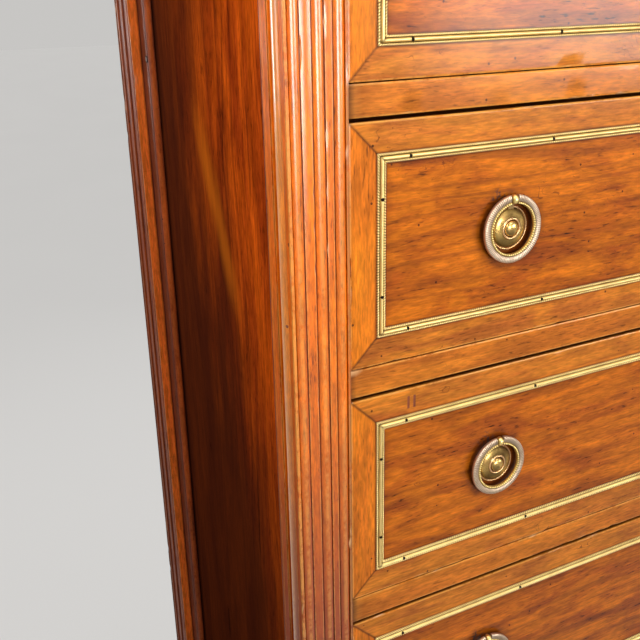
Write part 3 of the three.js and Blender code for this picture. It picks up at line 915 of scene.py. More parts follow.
def front_outline():
    """A front post: three reeds in front, the strip behind its inner half, the wide reed at the side."""
    rear = FRONT_POST_DEPTH + STRIP_WIDTH
    side = [(sunk, along, *rest) for along, sunk, *rest in wide_reed(FRONT_POST_DEPTH)]
    inside = [
        (POST_WIDTH, 2 * ARRIS_WIDTH, 0.0, 0.0),
        (POST_WIDTH, rear, 0.0, 0.0),
        (STRIP_SET_BACK + ARRIS_WIDTH, rear, 0.0, 0.0),
        (STRIP_SET_BACK, rear, 0.6, 0.0),
        (STRIP_SET_BACK, rear - ARRIS_WIDTH, 0.0, 0.0),
        (STRIP_SET_BACK, FRONT_POST_DEPTH + 2 * ARRIS_WIDTH, 0.0, 0.0),
        (STRIP_SET_BACK, FRONT_POST_DEPTH, 0.0, 1.0),
    ]
    return [*finished(three_reeds(POST_WIDTH), 0), *finished(inside, 1), *side[1:][::-1]]


# Painted shade: the rear reeds' flanks are darkened further up than the front ones.
REAR_REED_SHADED_FLANKS = 1.25
STRIP_CAMBER = 0.6


def rear_outline():
    """A rear post: the strip next to the side panel, then a step out to three reeds at the side."""
    carved = three_reeds(REAR_POST_DEPTH, REAR_REED_SHADED_FLANKS)
    side = [(sunk, along + STRIP_WIDTH, arris, grime) for along, sunk, arris, grime in carved]
    rear = STRIP_WIDTH + REAR_POST_DEPTH
    inside = [
        (STRIP_SET_BACK, 0.0, 0.6, 0.0),
        (STRIP_SET_BACK + ARRIS_WIDTH, 0.0, 0.0, 0.0),
        (POST_WIDTH, 0.0, 0.0, 0.0),
    ]
    back = [(POST_WIDTH, rear, 0.0, 0.0), (2 * ARRIS_WIDTH, rear, 0.0, 0.0)]
    return_face = [
        side[0],
        (ARRIS_WIDTH, STRIP_WIDTH, 0.0, 0.0),
        (STRIP_SET_BACK - 2 * ARRIS_WIDTH, STRIP_WIDTH, 0.0, 0.0),
    ]
    strip = [(STRIP_SET_BACK, STRIP_WIDTH, 0.0, 1.0)]
    for along in steps(STRIP_WIDTH - 2 * ARRIS_WIDTH, 2 * ARRIS_WIDTH, 2 * ARRIS_WIDTH):
        from_middle = 2 * along / STRIP_WIDTH - 1
        strip.append((STRIP_SET_BACK + STRIP_CAMBER * from_middle**2, along, 0.0, 0.2 * from_middle**2))
    return [
        *finished(inside, 2),
        *finished(back, 3),
        *finished(side[:0:-1], 0),
        *finished(return_face, 1),
        *finished(strip, 2),
    ]


def arc(middle, reach, start, end, count, arris=0.0, grime=0.0):
    """Points of a turned profile along an ellipse. middle and reach are (radius, height), and the
    angles run in degrees from outward round to upward."""
    points = []
    for angle in steps(start, end, abs(end - start) / count):
        turn = math.radians(angle)
        radius = middle[0] + reach[0] * math.cos(turn)
        points.append((radius, middle[1] + reach[1] * math.sin(turn), arris, grime))
    return points


FOOT_PROFILE = [
    # radius, height, arris, grime
    (9.4, 0.0, 0.4, 0.0),
    (10.6, 0.7, 0.8, 0.0),
    (11.0, 2.0, 0.5, 0.0),
    (11.3, 7.0, 0.3, 0.2),
    (10.9, 8.0, 0.0, 1.0),
    *arc((10.9, 10.4), (1.0, 1.9), -60, 60, 4, arris=0.7),
    (11.2, 12.6, 0.0, 1.0),
    (12.0, 22.0, 0.0, 0.0),
    (15.0, 70.0, 0.2, 0.0),
    (15.5, 76.0, 0.5, 0.0),
    (15.3, 78.4, 0.6, 0.0),
    (14.3, 80.0, 0.0, 1.0),
    (14.2, 84.4, 0.0, 1.0),
    *arc((14.5, 89.5), (4.0, 4.3), -72, 72, 8, arris=0.8),
    (15.6, 94.2, 0.0, 1.0),
    (15.5, 96.0, 0.0, 1.0),
]
FOOT_SIDES = 48
HAND_WAVE = 0.22
WAVE_ACROSS = 0.06
WAVE_ALONG = 0.011
CHIP_DEPTH = 0.8
BLOCK_EASE = 0.9
BLOCK_STEP = 20.0
POST_SEED = 7.3


def corner_block(shape, low, high, place):
    """The plain block of a post, above its foot or under the top."""
    near, far = place(*low), place(*high)
    board(
        shape,
        [min(pair) for pair in zip(near, far)],
        [max(pair) for pair in zip(near, far)],
        ease=BLOCK_EASE, step=BLOCK_STEP, axis=2,
    )


def post(name, node, outline, block_start, block_depth, strip_start, side, start_y, materials):
    """A corner post: its foot, the plain blocks at both ends and the reeded shaft between."""
    shape = Shape()
    seed = POST_SEED * len(name) + side

    def place(x, y, z):
        return side * (CASE_HALF - x), start_y + y, z

    depth = max(block_start + block_depth, strip_start + STRIP_WIDTH)
    centre_x, centre_y, _ = place(POST_WIDTH / 2, depth / 2, 0.0)
    rings = []
    shaft_top = CASE_TOP - RAIL_HEIGHT
    for z in steps(CASE_BASE, shaft_top, RING_STEP):
        ring = []
        for x, y, arris, grime, _ in outline:
            px, py, pz = place(x, y, z)
            spot = Vector((px * WAVE_ACROSS, py * WAVE_ACROSS + seed, z * WAVE_ALONG))
            wave = HAND_WAVE * (0.5 + 0.5 * noise.noise(spot))
            inward = Vector((centre_x - px, centre_y - py)).normalized() * wave
            edge = arris if arris > CREST_RUB_AND_HIGHLIGHT else 0.0
            px, py, pz, chip = chipped(
                px + inward.x, py + inward.y, pz, edge, (centre_x, centre_y, z), CHIP_DEPTH, seed
            )
            ring.append((px, py, pz, arris, grime, chip))
        rings.append(ring)
    shape.skin(rings, caps=True, finish=lambda _, corner: outline[corner][4])
    parts = ((0.0, block_start, block_depth), (STRIP_SET_BACK, strip_start, STRIP_WIDTH))
    for low, high in ((FOOT_HEIGHT, CASE_BASE), (shaft_top, CASE_TOP)):
        for x, start, deep in parts:
            corner_block(shape, (x, start, low), (POST_WIDTH, start + deep, high), place)
    turned(shape, FOOT_PROFILE, FOOT_SIDES, lambda a, b, height: (centre_x + a, centre_y + b, height))
    shape.build(name, "case", materials, [node])


HOLE_PLACE = (3.8, 1018.8)
HOLE_RADIUS = 2.8
HOLE_SIDES = 14


def plugged_nail(side, rear_start):
    """A nail hole in the strip of a rear post, stopped with grey filler that stands a little proud."""
    shape = Shape()
    along, z = HOLE_PLACE
    face = side * (CASE_HALF - STRIP_SET_BACK)
    profile = [
        # radius, out from the strip, arris, grime
        (HOLE_RADIUS, -0.6, 0.0, 1.0),
        (HOLE_RADIUS, 0.1, 0.0, 1.0),
        (0.75 * HOLE_RADIUS, 0.16, 0.0, 1.0),
        (0.55 * HOLE_RADIUS, 0.3, 0.8, 0.0),
        (0.2 * HOLE_RADIUS, 0.36, 0.6, 0.0),
    ]

    def place(a, b, height):
        return face + side * height, rear_start + along + a, z + b

    turned(shape, profile, HOLE_SIDES, place)
    shape.build("plugged_nail", "case", [PLUG_WOOD])


def posts():
    """The four corner posts, and the stopped hole in the left rear one."""
    rear_start = REAR_POST[0].y
    plugged_nail(-1, rear_start)
    for label, side in SIDES:
        post(
            f"reeded_post_front_{label}", f"post_front_{label}", front_outline(),
            0.0, FRONT_POST_DEPTH, FRONT_POST_DEPTH, side, FRONT_Y, FRONT_FINISHES,
        )
        post(
            f"reeded_post_rear_{label}", f"post_rear_{label}", rear_outline(),
            STRIP_WIDTH, REAR_POST_DEPTH, 0.0, side, rear_start, REAR_FINISHES,
        )


# Side panels: a rail above and below a sunk field, which has a bead round it

PANEL_CRACKS = (
    # place from front to back and height of the upper end, then of the lower end
    (-38.0, 1062.0, -21.0, 938.0),
    (-69.5, 1010.0, -71.0, 945.0),
    (-58.0, 742.0, -54.0, 640.0),
    (31.0, 560.0, 34.0, 410.0),
)
PANEL_KNOTS = (
    # place from front to back, height, radius
    (6.4, 1020.0, 2.2),
    (-19.4, 990.0, 1.8),
    (48.0, 700.0, 2.6),
)
CRACK_WIDTH = 0.9
CRACK_DEPTH = 0.5
CRACKED_FROM = -76.0
CRACKED_TO = -14.0
CRACKED_STEP = 0.8
FIELD_STEPS = (4.0, 2.4)
FIELD_RING_STEP = 6.0
FIELD_GRIME_WIDTH = 7.0


def field_marks(y, z):
    """How dark and sunk the field is at a crack or knot."""
    mark = 0.0
    for upper_y, upper_z, lower_y, lower_z in PANEL_CRACKS:
        share = (upper_z - z) / (upper_z - lower_z)
        if 0 < share < 1:
            wander = 0.8 * noise.noise(Vector((0.0, upper_y, z * 0.07)))
            line = upper_y + (lower_y - upper_y) * share + wander
            narrow = CRACK_WIDTH * min(1.0, 5 * share, 5 * (1 - share))
            mark = max(mark, 0.9 * ramp(abs(y - line), narrow, 0.3 * narrow))
    for knot_y, knot_z, radius in PANEL_KNOTS:
        away = math.hypot(y - knot_y, (z - knot_z) / 1.7)
        mark = max(mark, 0.9 * ramp(away, radius, 0.4 * radius))
    return mark


def side_field(shape, side, low_z, high_z):
    """The sunk field, a little bowed, with drying cracks along its grain and small knots."""
    outer = BEAD_LOW.x - GLUE_GAP
    inner = side * SIDE_LOW.x
    front, rear = SIDE_LOW.y, SIDE_HIGH.y
    columns = [
        *steps(front, CRACKED_FROM, FIELD_STEPS[0])[:-1],
        *steps(CRACKED_FROM, CRACKED_TO, CRACKED_STEP)[:-1],
        *steps(CRACKED_TO, rear, FIELD_STEPS[1]),
    ]
    edge = BEAD_SIZE + GLUE_GAP
    rings = []
    for z in steps(low_z, high_z, FIELD_RING_STEP):
        ring = []
        for y in columns:
            share = (y - front) / (rear - front)
            bow = FIELD_BOW * (math.sin(math.pi * share) - 1) * (0.6 + 0.4 * math.sin(z * 0.004 + side))
            mark = field_marks(y, z)
            margin = min(y - front, rear - y, z - low_z, high_z - z)
            grime = max(mark, 0.85 * ramp(margin, edge + FIELD_GRIME_WIDTH, edge))
            ring.append((side * (outer + bow - CRACK_DEPTH * mark), y, z, 0.0, grime, 0.0))
        ring += [(inner, rear, z, 0.0, 0.0, 0.0), (inner, front, z, 0.0, 0.0, 0.0)]
        rings.append(ring)
    shape.skin(rings, caps=True)


def side_panel(label, side):
    """A side panel with the bead that holds its field."""
    shape = Shape()
    field_low = FOOT_HEIGHT + SIDE_RAIL_HEIGHT
    field_high = CASE_TOP - SIDE_RAIL_HEIGHT
    side_field(shape, side, field_low, field_high)
    near, far = sorted((side * SIDE_LOW.x, side * SIDE_HIGH.x))
    for low, high in ((FOOT_HEIGHT, field_low), (field_high, CASE_TOP)):
        board(shape, (near, SIDE_LOW.y, low), (far, SIDE_HIGH.y, high), finish=1, ease=0.5, step=12.0, axis=1)
    shape.build(
        f"side_{label}", "case", [SIDE_WOOD, SIDE_RAIL_WOOD], [f"side_panel_{label}"]
    )
    bead(label, side)


BEAD_STEPS = 10
BEAD_WAVE = 0.12


def bead(label, side):
    """Quarter-round bead, mitred round the sunk field."""
    shape = Shape()
    box = (BEAD_LOW.y, BEAD_HIGH.y, BEAD_LOW.z, BEAD_HIGH.z)
    columns = even_columns(box[1] - box[0], box[3] - box[2])
    base = BEAD_LOW.x
    section = [(0.0, base, 0.0, 0.0)]
    for step, angle in enumerate(evenly(0.0, math.pi / 2, BEAD_STEPS)):
        grime = max(ramp(step, 2, 0), ramp(step, BEAD_STEPS - 2, BEAD_STEPS))
        crown = 0.5 * math.sin(2 * angle) ** 4
        section.append((BEAD_SIZE * math.sin(angle), base + BEAD_SIZE * math.cos(angle), crown, grime))
    rings = []
    for inset, x, arris, grime in section:
        ring = []
        for y, z, _, _ in mitred_ring(box, inset, columns):
            wave = BEAD_WAVE * noise.noise(Vector((inset, y * 0.03, z * 0.03 + side)))
            ring.append((side * (x - abs(wave)), y, z, arris, grime, 0.0))
        rings.append(ring)
    shape.skin(rings, looped=True)
    shape.build(f"bead_{label}", "case", [BEAD_WOOD], [f"panel_bead_{label}"])


# Rails and dust boards

RAIL_EASE = 0.9
RAIL_END_WEAR = 0.55
RAIL_CHIP_DEPTH = 1.3
RAIL_SEED = 0.17
LOST_CORNER = (-233.5, 844.6)
LOST_CORNER_SIZE = 4.2
END_GRIME = 0.35
END_GRIME_REACH = 28.0
END_WEAR_REACH = 9.0


def rail_front(shape, top, height, depth):
    """The polished front of a rail, with its worn arrises, drawn from side to side."""
    half = OPENING_HALF - GLUE_GAP
    low = top - height
    section = [
        # back from the face, height, arris, grime
        # Grime on the underside and top, where the drawers hide them, is painted shade; the lightened arrises
        # are partly wear and partly painted highlight.
        (depth, low, 0.0, 0.3),
        (2.5 * RAIL_EASE, low, 0.0, 1.0),
        (RAIL_EASE, low, 0.3, 0.9),
        (RAIL_EASE * 0.3, low + RAIL_EASE * 0.3, 1.0, 0.0),
        (0.0, low + RAIL_EASE, 0.8, 0.0),
        (0.0, low + 1.7 * RAIL_EASE, 0.0, 0.0),
        (0.0, top - LOST_CORNER_SIZE, 0.0, 0.0),
        (0.0, top - 1.7 * RAIL_EASE, 0.0, 0.0),
        (0.0, top - RAIL_EASE, 0.8, 0.0),
        (RAIL_EASE * 0.3, top - RAIL_EASE * 0.3, 1.0, 0.0),
        (RAIL_EASE, top, 0.3, 0.6),
        (2.5 * RAIL_EASE, top, 0.0, 1.0),
        (depth, top, 0.0, 0.3),
    ]
    rings = []
    for x in steps(-half, half, RING_STEP):
        from_end = half - abs(x)
        end = ramp(from_end, END_WEAR_REACH, 0.0)
        end_dirt = max(ramp(from_end, 1.2, 0.0), END_GRIME * ramp(from_end, END_GRIME_REACH, 0.0))
        ring = []
        for back, z, arris, grime in section:
            worn = max(arris, RAIL_END_WEAR * end if back < depth else 0.0)
            point = (x, FACE_Y + back, z)
            centre = (x, FACE_Y + 6.0, (low + top) / 2)
            px, py, pz, chip = chipped(*point, worn, centre, RAIL_CHIP_DEPTH, top * RAIL_SEED)
            if back < depth:
                lost = math.hypot(x - LOST_CORNER[0], z - LOST_CORNER[1])
                chip = max(chip, ramp(lost, LOST_CORNER_SIZE, 0.4 * LOST_CORNER_SIZE))
            ring.append((px, py, pz, worn, max(grime, end_dirt), chip))
        rings.append(ring)
    shape.skin(rings, caps=True)


def dust_board(number):
    """A rail with the dust board behind it: panel, rear rail, runners, guides and stops."""
    shape = Shape()
    top = CASE_TOP - (number - 1) * PITCH
    bottom = top - RAIL_HEIGHT
    rail_back = FACE_Y + RAIL_DEPTH
    rear = BACK_LOW.y - GLUE_GAP
    rear_rail = rear - REAR_RAIL_DEPTH
    at_side = SIDE_LOW.x - GLUE_GAP
    half = OPENING_HALF - GLUE_GAP
    inner = OPENING_HALF - RUNNER_WIDTH
    rail_front(shape, top, RAIL_HEIGHT, RAIL_DEPTH)
    if number == DRAWERS + 1:
        rail_front(shape, bottom - GLUE_GAP / 10, BASE_RAIL_HEIGHT - RAIL_HEIGHT, BASE_RAIL_THICKNESS)
    board(shape, (-inner, rail_back, top - DUST_PANEL), (inner, rear_rail, top - 0.1), finish=1, ease=0.1)
    board(shape, (-half, rear_rail, bottom), (half, rear, top), finish=2, ease=0.5)
    for side in (-1, 1):
        # inner and outer edge, front and rear, bottom and top, ease: a runner, then what fills the
        # room between it and the side panel, and a guide for the drawer above
        strips = [
            (inner, half, rail_back, rear_rail, bottom, top, 0.4),
            (half, at_side, SIDE_LOW.y, SIDE_HIGH.y, bottom, top, 0.4),
        ]
        if number > 1:
            strips.append((OPENING_HALF, at_side, SIDE_LOW.y, SIDE_HIGH.y, top, top + GUIDE_HEIGHT, 0.8))
        for near, far, front, back, low, high, ease in strips:
            x0, x1 = sorted((side * near, side * far))
            board(shape, (x0, front, low), (x1, back, high), finish=1, ease=ease, axis=1)
        if number > 1:
            x = side * (OPENING_HALF - STOP_FROM_END)
            y = FACE_Y + FRONT_THICKNESS + GLUE_GAP
            board(
                shape,
                (x - STOP_WIDTH / 2, y, top),
                (x + STOP_WIDTH / 2, y + STOP_DEPTH, top + STOP_HEIGHT),
                finish=1, ease=0.7,
            )
    shape.build(
        f"rail_and_dust_board_{number}", "case",
        [RAIL_WOOD, PLAIN_WOOD, PLAIN_CROSS_WOOD], [f"rail_{number}"],
    )


# Back boards and top

BACK_BOARDS = 5
BACK_JOINT = 1.6
BACK_GAP = 0.15
STAGGER_UP = 1.5
STAGGER_IN = 0.3
NAIL_SHARES = (0.2, 0.8)
NAIL_HEAD = [(2.4, -0.4, 0.0, 1.0), *arc((0.3, 0.0), (2.2, 0.5), 0, 90, 4, arris=0.4, grime=0.2)]


def back_boards():
    """Upright boards with chamfered joints, nailed to the rails."""
    shape = Shape()
    width = (BACK_HIGH.x - BACK_LOW.x) / BACK_BOARDS
    for number in range(BACK_BOARDS):
        near = BACK_LOW.x + number * width
        is_odd = number % 2
        outside = BACK_HIGH.y - STAGGER_IN * is_odd
        board(
            shape,
            (near + BACK_GAP, BACK_LOW.y, BACK_LOW.z + STAGGER_UP * is_odd),
            (near + width - BACK_GAP, outside, BACK_HIGH.z),
            ease=BACK_JOINT, step=25.0, axis=2,
        )
        for rail in range(DRAWERS + 1):
            z = CASE_TOP - rail * PITCH - RAIL_HEIGHT / 2
            for share in NAIL_SHARES:
                turned(shape, NAIL_HEAD, 10, facing(near + share * width, outside, z, out=1), finish=1)
    shape.build("back_boards", "case", [BACK_WOOD, PIN_IRON], ["back_panel"])


COVE_HEIGHT = 14.0
COVE_REACH = 9.0
COVE_START = 2.0
TOP_REACH = 16.0
TOP_EDGE_ROUND = 6.0
TOP_STEPS = 10
TOP_INWARD = (3.0, 12.0, 60.0)
TOP_CHIP_DEPTH = 1.0
TOP_SEED = 31.0


def top_board():
    """The top, with a cove under its edge and a rounded nose. Its back edge is plain."""
    shape = Shape()
    low, high = TOP_LOW.z, TOP_HIGH.z
    edge_low = low + COVE_HEIGHT
    section = []
    for step, angle in enumerate(evenly(0.0, math.pi / 2, TOP_STEPS)):
        reach = COVE_START + COVE_REACH * (1 - math.cos(angle))
        section.append((reach, low + COVE_HEIGHT * math.sin(angle), 0.0, ramp(step, 3, 0)))
    section += [
        (TOP_REACH - ARRIS_WIDTH, edge_low, 0.0, 0.2),
        (TOP_REACH - 0.2, edge_low + 0.1, 1.0, 0.0),
        (TOP_REACH, edge_low + ARRIS_WIDTH, 0.4, 0.0),
    ]
    for angle in evenly(0.0, math.pi / 2, TOP_STEPS):
        reach = TOP_REACH - TOP_EDGE_ROUND * (1 - math.cos(angle))
        # The nose is lightened, partly by wear and partly as painted highlight.
        rub = 0.6 * math.sin(2 * angle) ** 2
        section.append((reach, high - TOP_EDGE_ROUND * (1 - math.sin(angle)), rub, 0.0))
    for inward in TOP_INWARD:
        section.append((TOP_REACH - TOP_EDGE_ROUND - inward, high, 0.0, 0.0))
    columns = even_columns(2 * CASE_HALF, REAR_Y - FRONT_Y)
    rings = []
    for reach, z, arris, grime in section:
        box = (-CASE_HALF - reach, CASE_HALF + reach, FRONT_Y - reach, REAR_Y)
        ring = []
        for x, y, side, _ in mitred_ring(box, 0.0, columns):
            worn = arris if side != 2 else 0.0
            px, py, pz, chip = chipped(x, y, z, worn, (0.0, 0.0, z), TOP_CHIP_DEPTH, TOP_SEED)
            ring.append((px, min(py, REAR_Y), pz, arris, grime, chip))
        rings.append(ring)

    def grain(level, corner):
        return 1 if on_upright(corner, columns) and level < len(rings) - len(TOP_INWARD) else 0

    shape.skin(rings, caps=True, finish=grain, cap_finishes=[0, 0])
    shape.build("top_with_cove", "case", [TOP_WOOD, TOP_END_WOOD], ["top_board"])


# Drawers

MITRE_WIDTH = 2.0
DRAWER_CHIP_DEPTH = 1.2
DRAWER_SEED = 3.7
FRONT_COLUMN_STEP = 6.0
FIELD_FROM_RING = 8
PATCHED_DRAWER = 4
PATCHES = (-191.7, -187.1)
PATCH_WIDTH = 1.9
PATCH_SPAN = (14.5, 5.5)
PATCH_PROUD = 0.05
FIELD_INSET = MOULDING_INSET + MOULDING_WIDTH


def mitred_columns(step):
    """Shares along the sides of a drawer front, with a narrow stretch at each mitre."""
    columns = []
    for length in (2 * DRAWER_HALF, DRAWER_HEIGHT):
        narrow = MITRE_WIDTH / length
        columns.append([0.0, *evenly(narrow, 1 - narrow, round(length / step)), 1.0])
    return columns


def drawer_front(number, low):
    """The front: mitred cross-bands round a figured field, with worn edges."""
    shape = Shape()
    box = (-DRAWER_HALF, DRAWER_HALF, low, low + DRAWER_HEIGHT)
    columns = mitred_columns(FRONT_COLUMN_STEP)
    section = [
        # inset, back from the face, arris, grime, has mitre
        # Grime on the edges hidden in the gaps is painted shade; the lightened arris in front is partly wear
        # and partly painted highlight.
        (0.0, FRONT_THICKNESS, 0.0, 0.3, False),
        (0.0, 3.0, 0.0, 1.0, False),
        (0.0, 1.1, 0.3, 0.7, False),
        (0.25, 0.28, 1.0, 0.0, True),
        (1.0, 0.0, 0.9, 0.0, True),
        (1.5, 0.0, 0.0, 0.0, True),
        (9.0, 0.0, 0.0, 0.0, True),
        (MOULDING_INSET - 1.6, 0.0, 0.0, 0.0, True),
        (MOULDING_INSET, 0.0, 0.0, 1.0, True),
        (FIELD_INSET, 0.0, 0.0, 1.0, False),
        (FIELD_INSET + 1.4, 0.0, 0.0, 0.25, False),
        (FIELD_INSET + 6.0, 0.0, 0.0, 0.0, False),
        (FIELD_INSET + 40.0, 0.0, 0.0, 0.0, False),
    ]
    middle = low + DRAWER_HEIGHT / 2
    rings = []
    for inset, back, arris, grime, has_mitre in section:
        ring = []
        for x, z, _, share in mitred_ring(box, inset, columns):
            centre = (x * 0.98, FACE_Y + 4.0, z + (middle - z) * 0.06)
            px, py, pz, chip = chipped(
                x, FACE_Y + back, z, arris, centre, DRAWER_CHIP_DEPTH, number * DRAWER_SEED
            )
            joint = 0.85 + 0.4 * noise.noise(Vector((x * 0.2, number, z * 0.2)))
            dirt_and_shade = max(grime, joint if has_mitre and share == 0.0 else 0.0)
            ring.append((px, py, pz, arris, dirt_and_shade, chip))
        rings.append(ring)


    def finish(level, corner):
        if level >= FIELD_FROM_RING:
            return 2
        return 1 if on_upright(corner, columns) else 0

    shape.skin(rings, caps=True, finish=finish, cap_finishes=[3, 2])
    if number == PATCHED_DRAWER:
        patch_low, patch_high = (box[3] - down for down in PATCH_SPAN)
        for x in PATCHES:
            board(
                shape,
                (x - PATCH_WIDTH / 2, FACE_Y - PATCH_PROUD, patch_low),
                (x + PATCH_WIDTH / 2, FACE_Y + 1.0, patch_high),
                finish=4, ease=0.1,
            )
    shape.build(
        f"drawer_front_{number}", f"drawer_{number}",
        [BAND_WOOD, STILE_WOOD, FIELD_WOOD, PLAIN_CROSS_WOOD, SHADED_STRIP_WOOD], [f"drawer_{number}"],
    )


DOVETAILS = 4
DOVETAIL_SLOPE = 0.16
TAIL_ROOT_SHARE = 0.26
TAIL_MARKS = (0.3, 0.2, 0.0)


def dovetailed_side(shape, side, low, start, end):
    """One side of a drawer box. Its tails show as end grain on the back board."""
    outer = side * (DRAWER_HALF - BOX_SET_IN)
    near, far = sorted((outer - side * BOX_BOARD, outer))
    shoulder = end - BOX_BOARD
    board(shape, (near, start, low), (far, shoulder, low + BOX_SIDE_HEIGHT), ease=0.8, step=40.0, axis=1)
    spacing = BOX_SIDE_HEIGHT / DOVETAILS
    root = spacing * TAIL_ROOT_SHARE
    tip = root + BOX_BOARD * DOVETAIL_SLOPE * 1.6
    for number in range(DOVETAILS):
        middle = low + spacing * (number + 0.5)
        rings = []
        for y, reach in ((shoulder - 0.4, root), (end - 0.5, tip), (end, tip - 0.5)):
            bottom, top = middle - reach, middle + reach
            corner_places = ((near, bottom), (far, bottom), (far, top), (near, top))
            rings.append([(x, y, z, *TAIL_MARKS) for x, z in corner_places])
        shape.skin(rings, caps=True)


def drawer_box(number, low):
    """The box behind a front: two sides, a back and a bottom."""
    shape = Shape()
    start = FACE_Y + FRONT_THICKNESS - 0.2
    end = DRAWER_HIGH.y
    half = DRAWER_HALF - BOX_SET_IN
    inner = half - BOX_BOARD
    for side in (-1, 1):
        dovetailed_side(shape, side, low, start, end)
    board(
        shape,
        (-half + 0.4, end - BOX_BOARD, low + BOX_BOTTOM_RISE),
        (half - 0.4, end - 0.6, low + BOX_SIDE_HEIGHT - 0.5),
        finish=1, ease=0.8,
    )
    board(
        shape,
        (-inner - 1.0, start, low + BOX_BOTTOM_RISE),
        (inner + 1.0, end - BOX_BOARD + 1.0, low + BOX_BOTTOM_RISE + BOX_BOTTOM),
        finish=1, ease=0.4,
    )
    shape.build(
        f"drawer_box_{number}", f"drawer_{number}", [PLAIN_WOOD, PLAIN_CROSS_WOOD]
    )


# Brass moulding round the field of a front

BEAD_CRESTS = (0.0, 0.75, 1.0, 0.75)
BEAD_SECTION = (
    # share of the row's width, out from the face, share of the bead's rise
    (0.0, 0.0, 0.0),
    (0.06, 0.4, 0.4),
    (0.3, 0.6, 0.9),
    (0.7, 0.6, 0.9),
    (0.94, 0.4, 0.4),
    (1.0, 0.0, 0.0),
)
BEAD_RISE = 0.75


def bead_row(shape, box, inset):
    """A milled row of beads along one edge of the moulding."""
    columns = []
    for low, high in (box[:2], box[2:]):
        beads = round((high - low - 2 * inset) / MOULDING_BEAD_PITCH)
        columns.append(evenly(0.0, 1.0, len(BEAD_CRESTS) * beads))
    rings = []
    for share, out, rise_share in BEAD_SECTION:
        ring = []
        for number, (x, z, _, _) in enumerate(mitred_ring(box, inset + MOULDING_BEAD * share, columns)):
            crest = BEAD_CRESTS[number % len(BEAD_CRESTS)]
            rise = crest * rise_share
            ring.append((x, FACE_Y - out - BEAD_RISE * rise, z, rise, max(0.0, 1 - 1.2 * crest), 0.0))
        rings.append(ring)
    shape.skin(rings)


PIN_FROM_CORNER = 19.0
PIN_DOWN = 24.0
PIN_SPACING = 108.0
MOULDING_PIN_RADIUS = 1.15
PIN_SIDES = 8
CROWN_STEPS = 8
CROWN_BASE = 0.55
MITRE_GRIME = 0.8
MOULDING_COLUMN_STEP = 9.0


def moulding(number, low):
    """The brass moulding round a field: a half-round between two rows of beads."""
    shape = Shape()
    inset = MOULDING_INSET
    box = (-DRAWER_HALF, DRAWER_HALF, low, low + DRAWER_HEIGHT)
    columns = mitred_columns(MOULDING_COLUMN_STEP)
    groove = inset + MOULDING_BEAD
    round_width = MOULDING_WIDTH - 2 * MOULDING_BEAD
    section = [
        # inset, out from the face, arris, grime
        (inset + 0.1, 0.0, 0.0, 1.0),
        (groove - 0.1, 0.35, 0.0, 1.0),
        (groove + 0.15, 0.45, 0.0, 1.0),
    ]
    for angle in evenly(0.0, math.pi, CROWN_STEPS):
        crown = math.sin(angle)
        at = groove + 0.25 + (round_width - 0.5) * (1 - math.cos(angle)) / 2
        out = CROWN_BASE + (MOULDING_CREST - CROWN_BASE) * crown
        section.append((at, out, 0.5 * crown, max(0.0, 1 - 2.2 * crown)))
    section += [
        (groove + round_width - 0.15, 0.45, 0.0, 1.0),
        (groove + round_width + 0.1, 0.35, 0.0, 1.0),
        (inset + MOULDING_WIDTH - 0.1, 0.0, 0.0, 1.0),
    ]
    rings = []
    for across, out, arris, grime in section:
        ring = []
        for x, z, _, share in mitred_ring(box, across, columns):
            dirt_and_shade = max(grime, MITRE_GRIME if share == 0.0 else 0.0)
            ring.append((x, FACE_Y - out, z, arris, dirt_and_shade, 0.0))
        rings.append(ring)
    shape.skin(rings)
    bead_row(shape, box, inset)
    bead_row(shape, box, inset + MOULDING_WIDTH - MOULDING_BEAD)
    for x, z in pin_places(low):
        pin_head(shape, x, z)
    shape.build(
        f"brass_frame_{number}", f"drawer_{number}",
        [MOULDING_BRASS, PIN_IRON], [f"moulding_{number}"], sharp_angle=60.0,
    )


def pin_places(low):
    """Pins near each corner, and along the two long sides."""
    middle = MOULDING_INSET + MOULDING_WIDTH / 2
    right = DRAWER_HALF - middle
    bottom, top = low + middle, low + DRAWER_HEIGHT - middle
    places = []
    for side in (-1, 1):
        for z in (bottom, top):
            places.append((side * (right - PIN_FROM_CORNER), z))
            places.append((side * (right - PIN_FROM_CORNER - PIN_SPACING), z))
        places += [(side * right, bottom + PIN_DOWN), (side * right, top - PIN_DOWN)]
    return places


def pin_head(shape, x, z):
    """A small pin, driven flush into the crest."""
    radius = MOULDING_PIN_RADIUS
    out = MOULDING_CREST
    profile = [
        (radius, out - 0.9, 0.0, 1.0),
        (radius, out - 0.05, 0.0, 1.0),
        (radius * 0.8, out + 0.12, 0.2, 0.8),
        (radius * 0.3, out + 0.18, 0.1, 0.8),
    ]
    turned(shape, profile, PIN_SIDES, facing(x, FACE_Y, z), finish=1)


# Ring pulls

PLATE_PROFILE = [
    # radius, out from the face, arris, grime: a beaded rim, a dome, a ring and a button
    (14.3, 0.0, 0.0, 1.0),
    *arc((13.95, 0.45), (0.55, 0.6), -10, 190, 6, arris=0.9),
    (13.1, 0.95, 0.0, 0.7),
    *arc((7.0, 0.75), (6.1, 2.4), 5, 82, 6, arris=0.1),
    (7.4, 3.1, 0.0, 1.0),
    *arc((6.5, 3.1), (0.75, 0.8), 10, 170, 8, arris=1.0),
    (5.5, 2.7, 0.0, 1.0),
    (5.2, 2.9, 0.0, 0.9),
    *arc((0.3, 3.2), (4.8, 2.1), 5, 90, 7, arris=0.2),
]
PLATE_SIDES = 72
STUD_RADIUS = 2.0
STUD_END = 5.0
STUD_SIDES = 16
RING_COLUMNS = 192
BEAD_COLUMNS = 3
BALL_STEPS = 10
BALL_SIDES = 18
BALL_CLEARANCE = 0.2
RING_PIN_SIDES = 12
RING_PIN_REACH = 1.9
GILT_FROM_POINT = 7
REED_RISE = 0.4
REED_GRIME = 0.75
RING_BEAD_RISE = 0.75
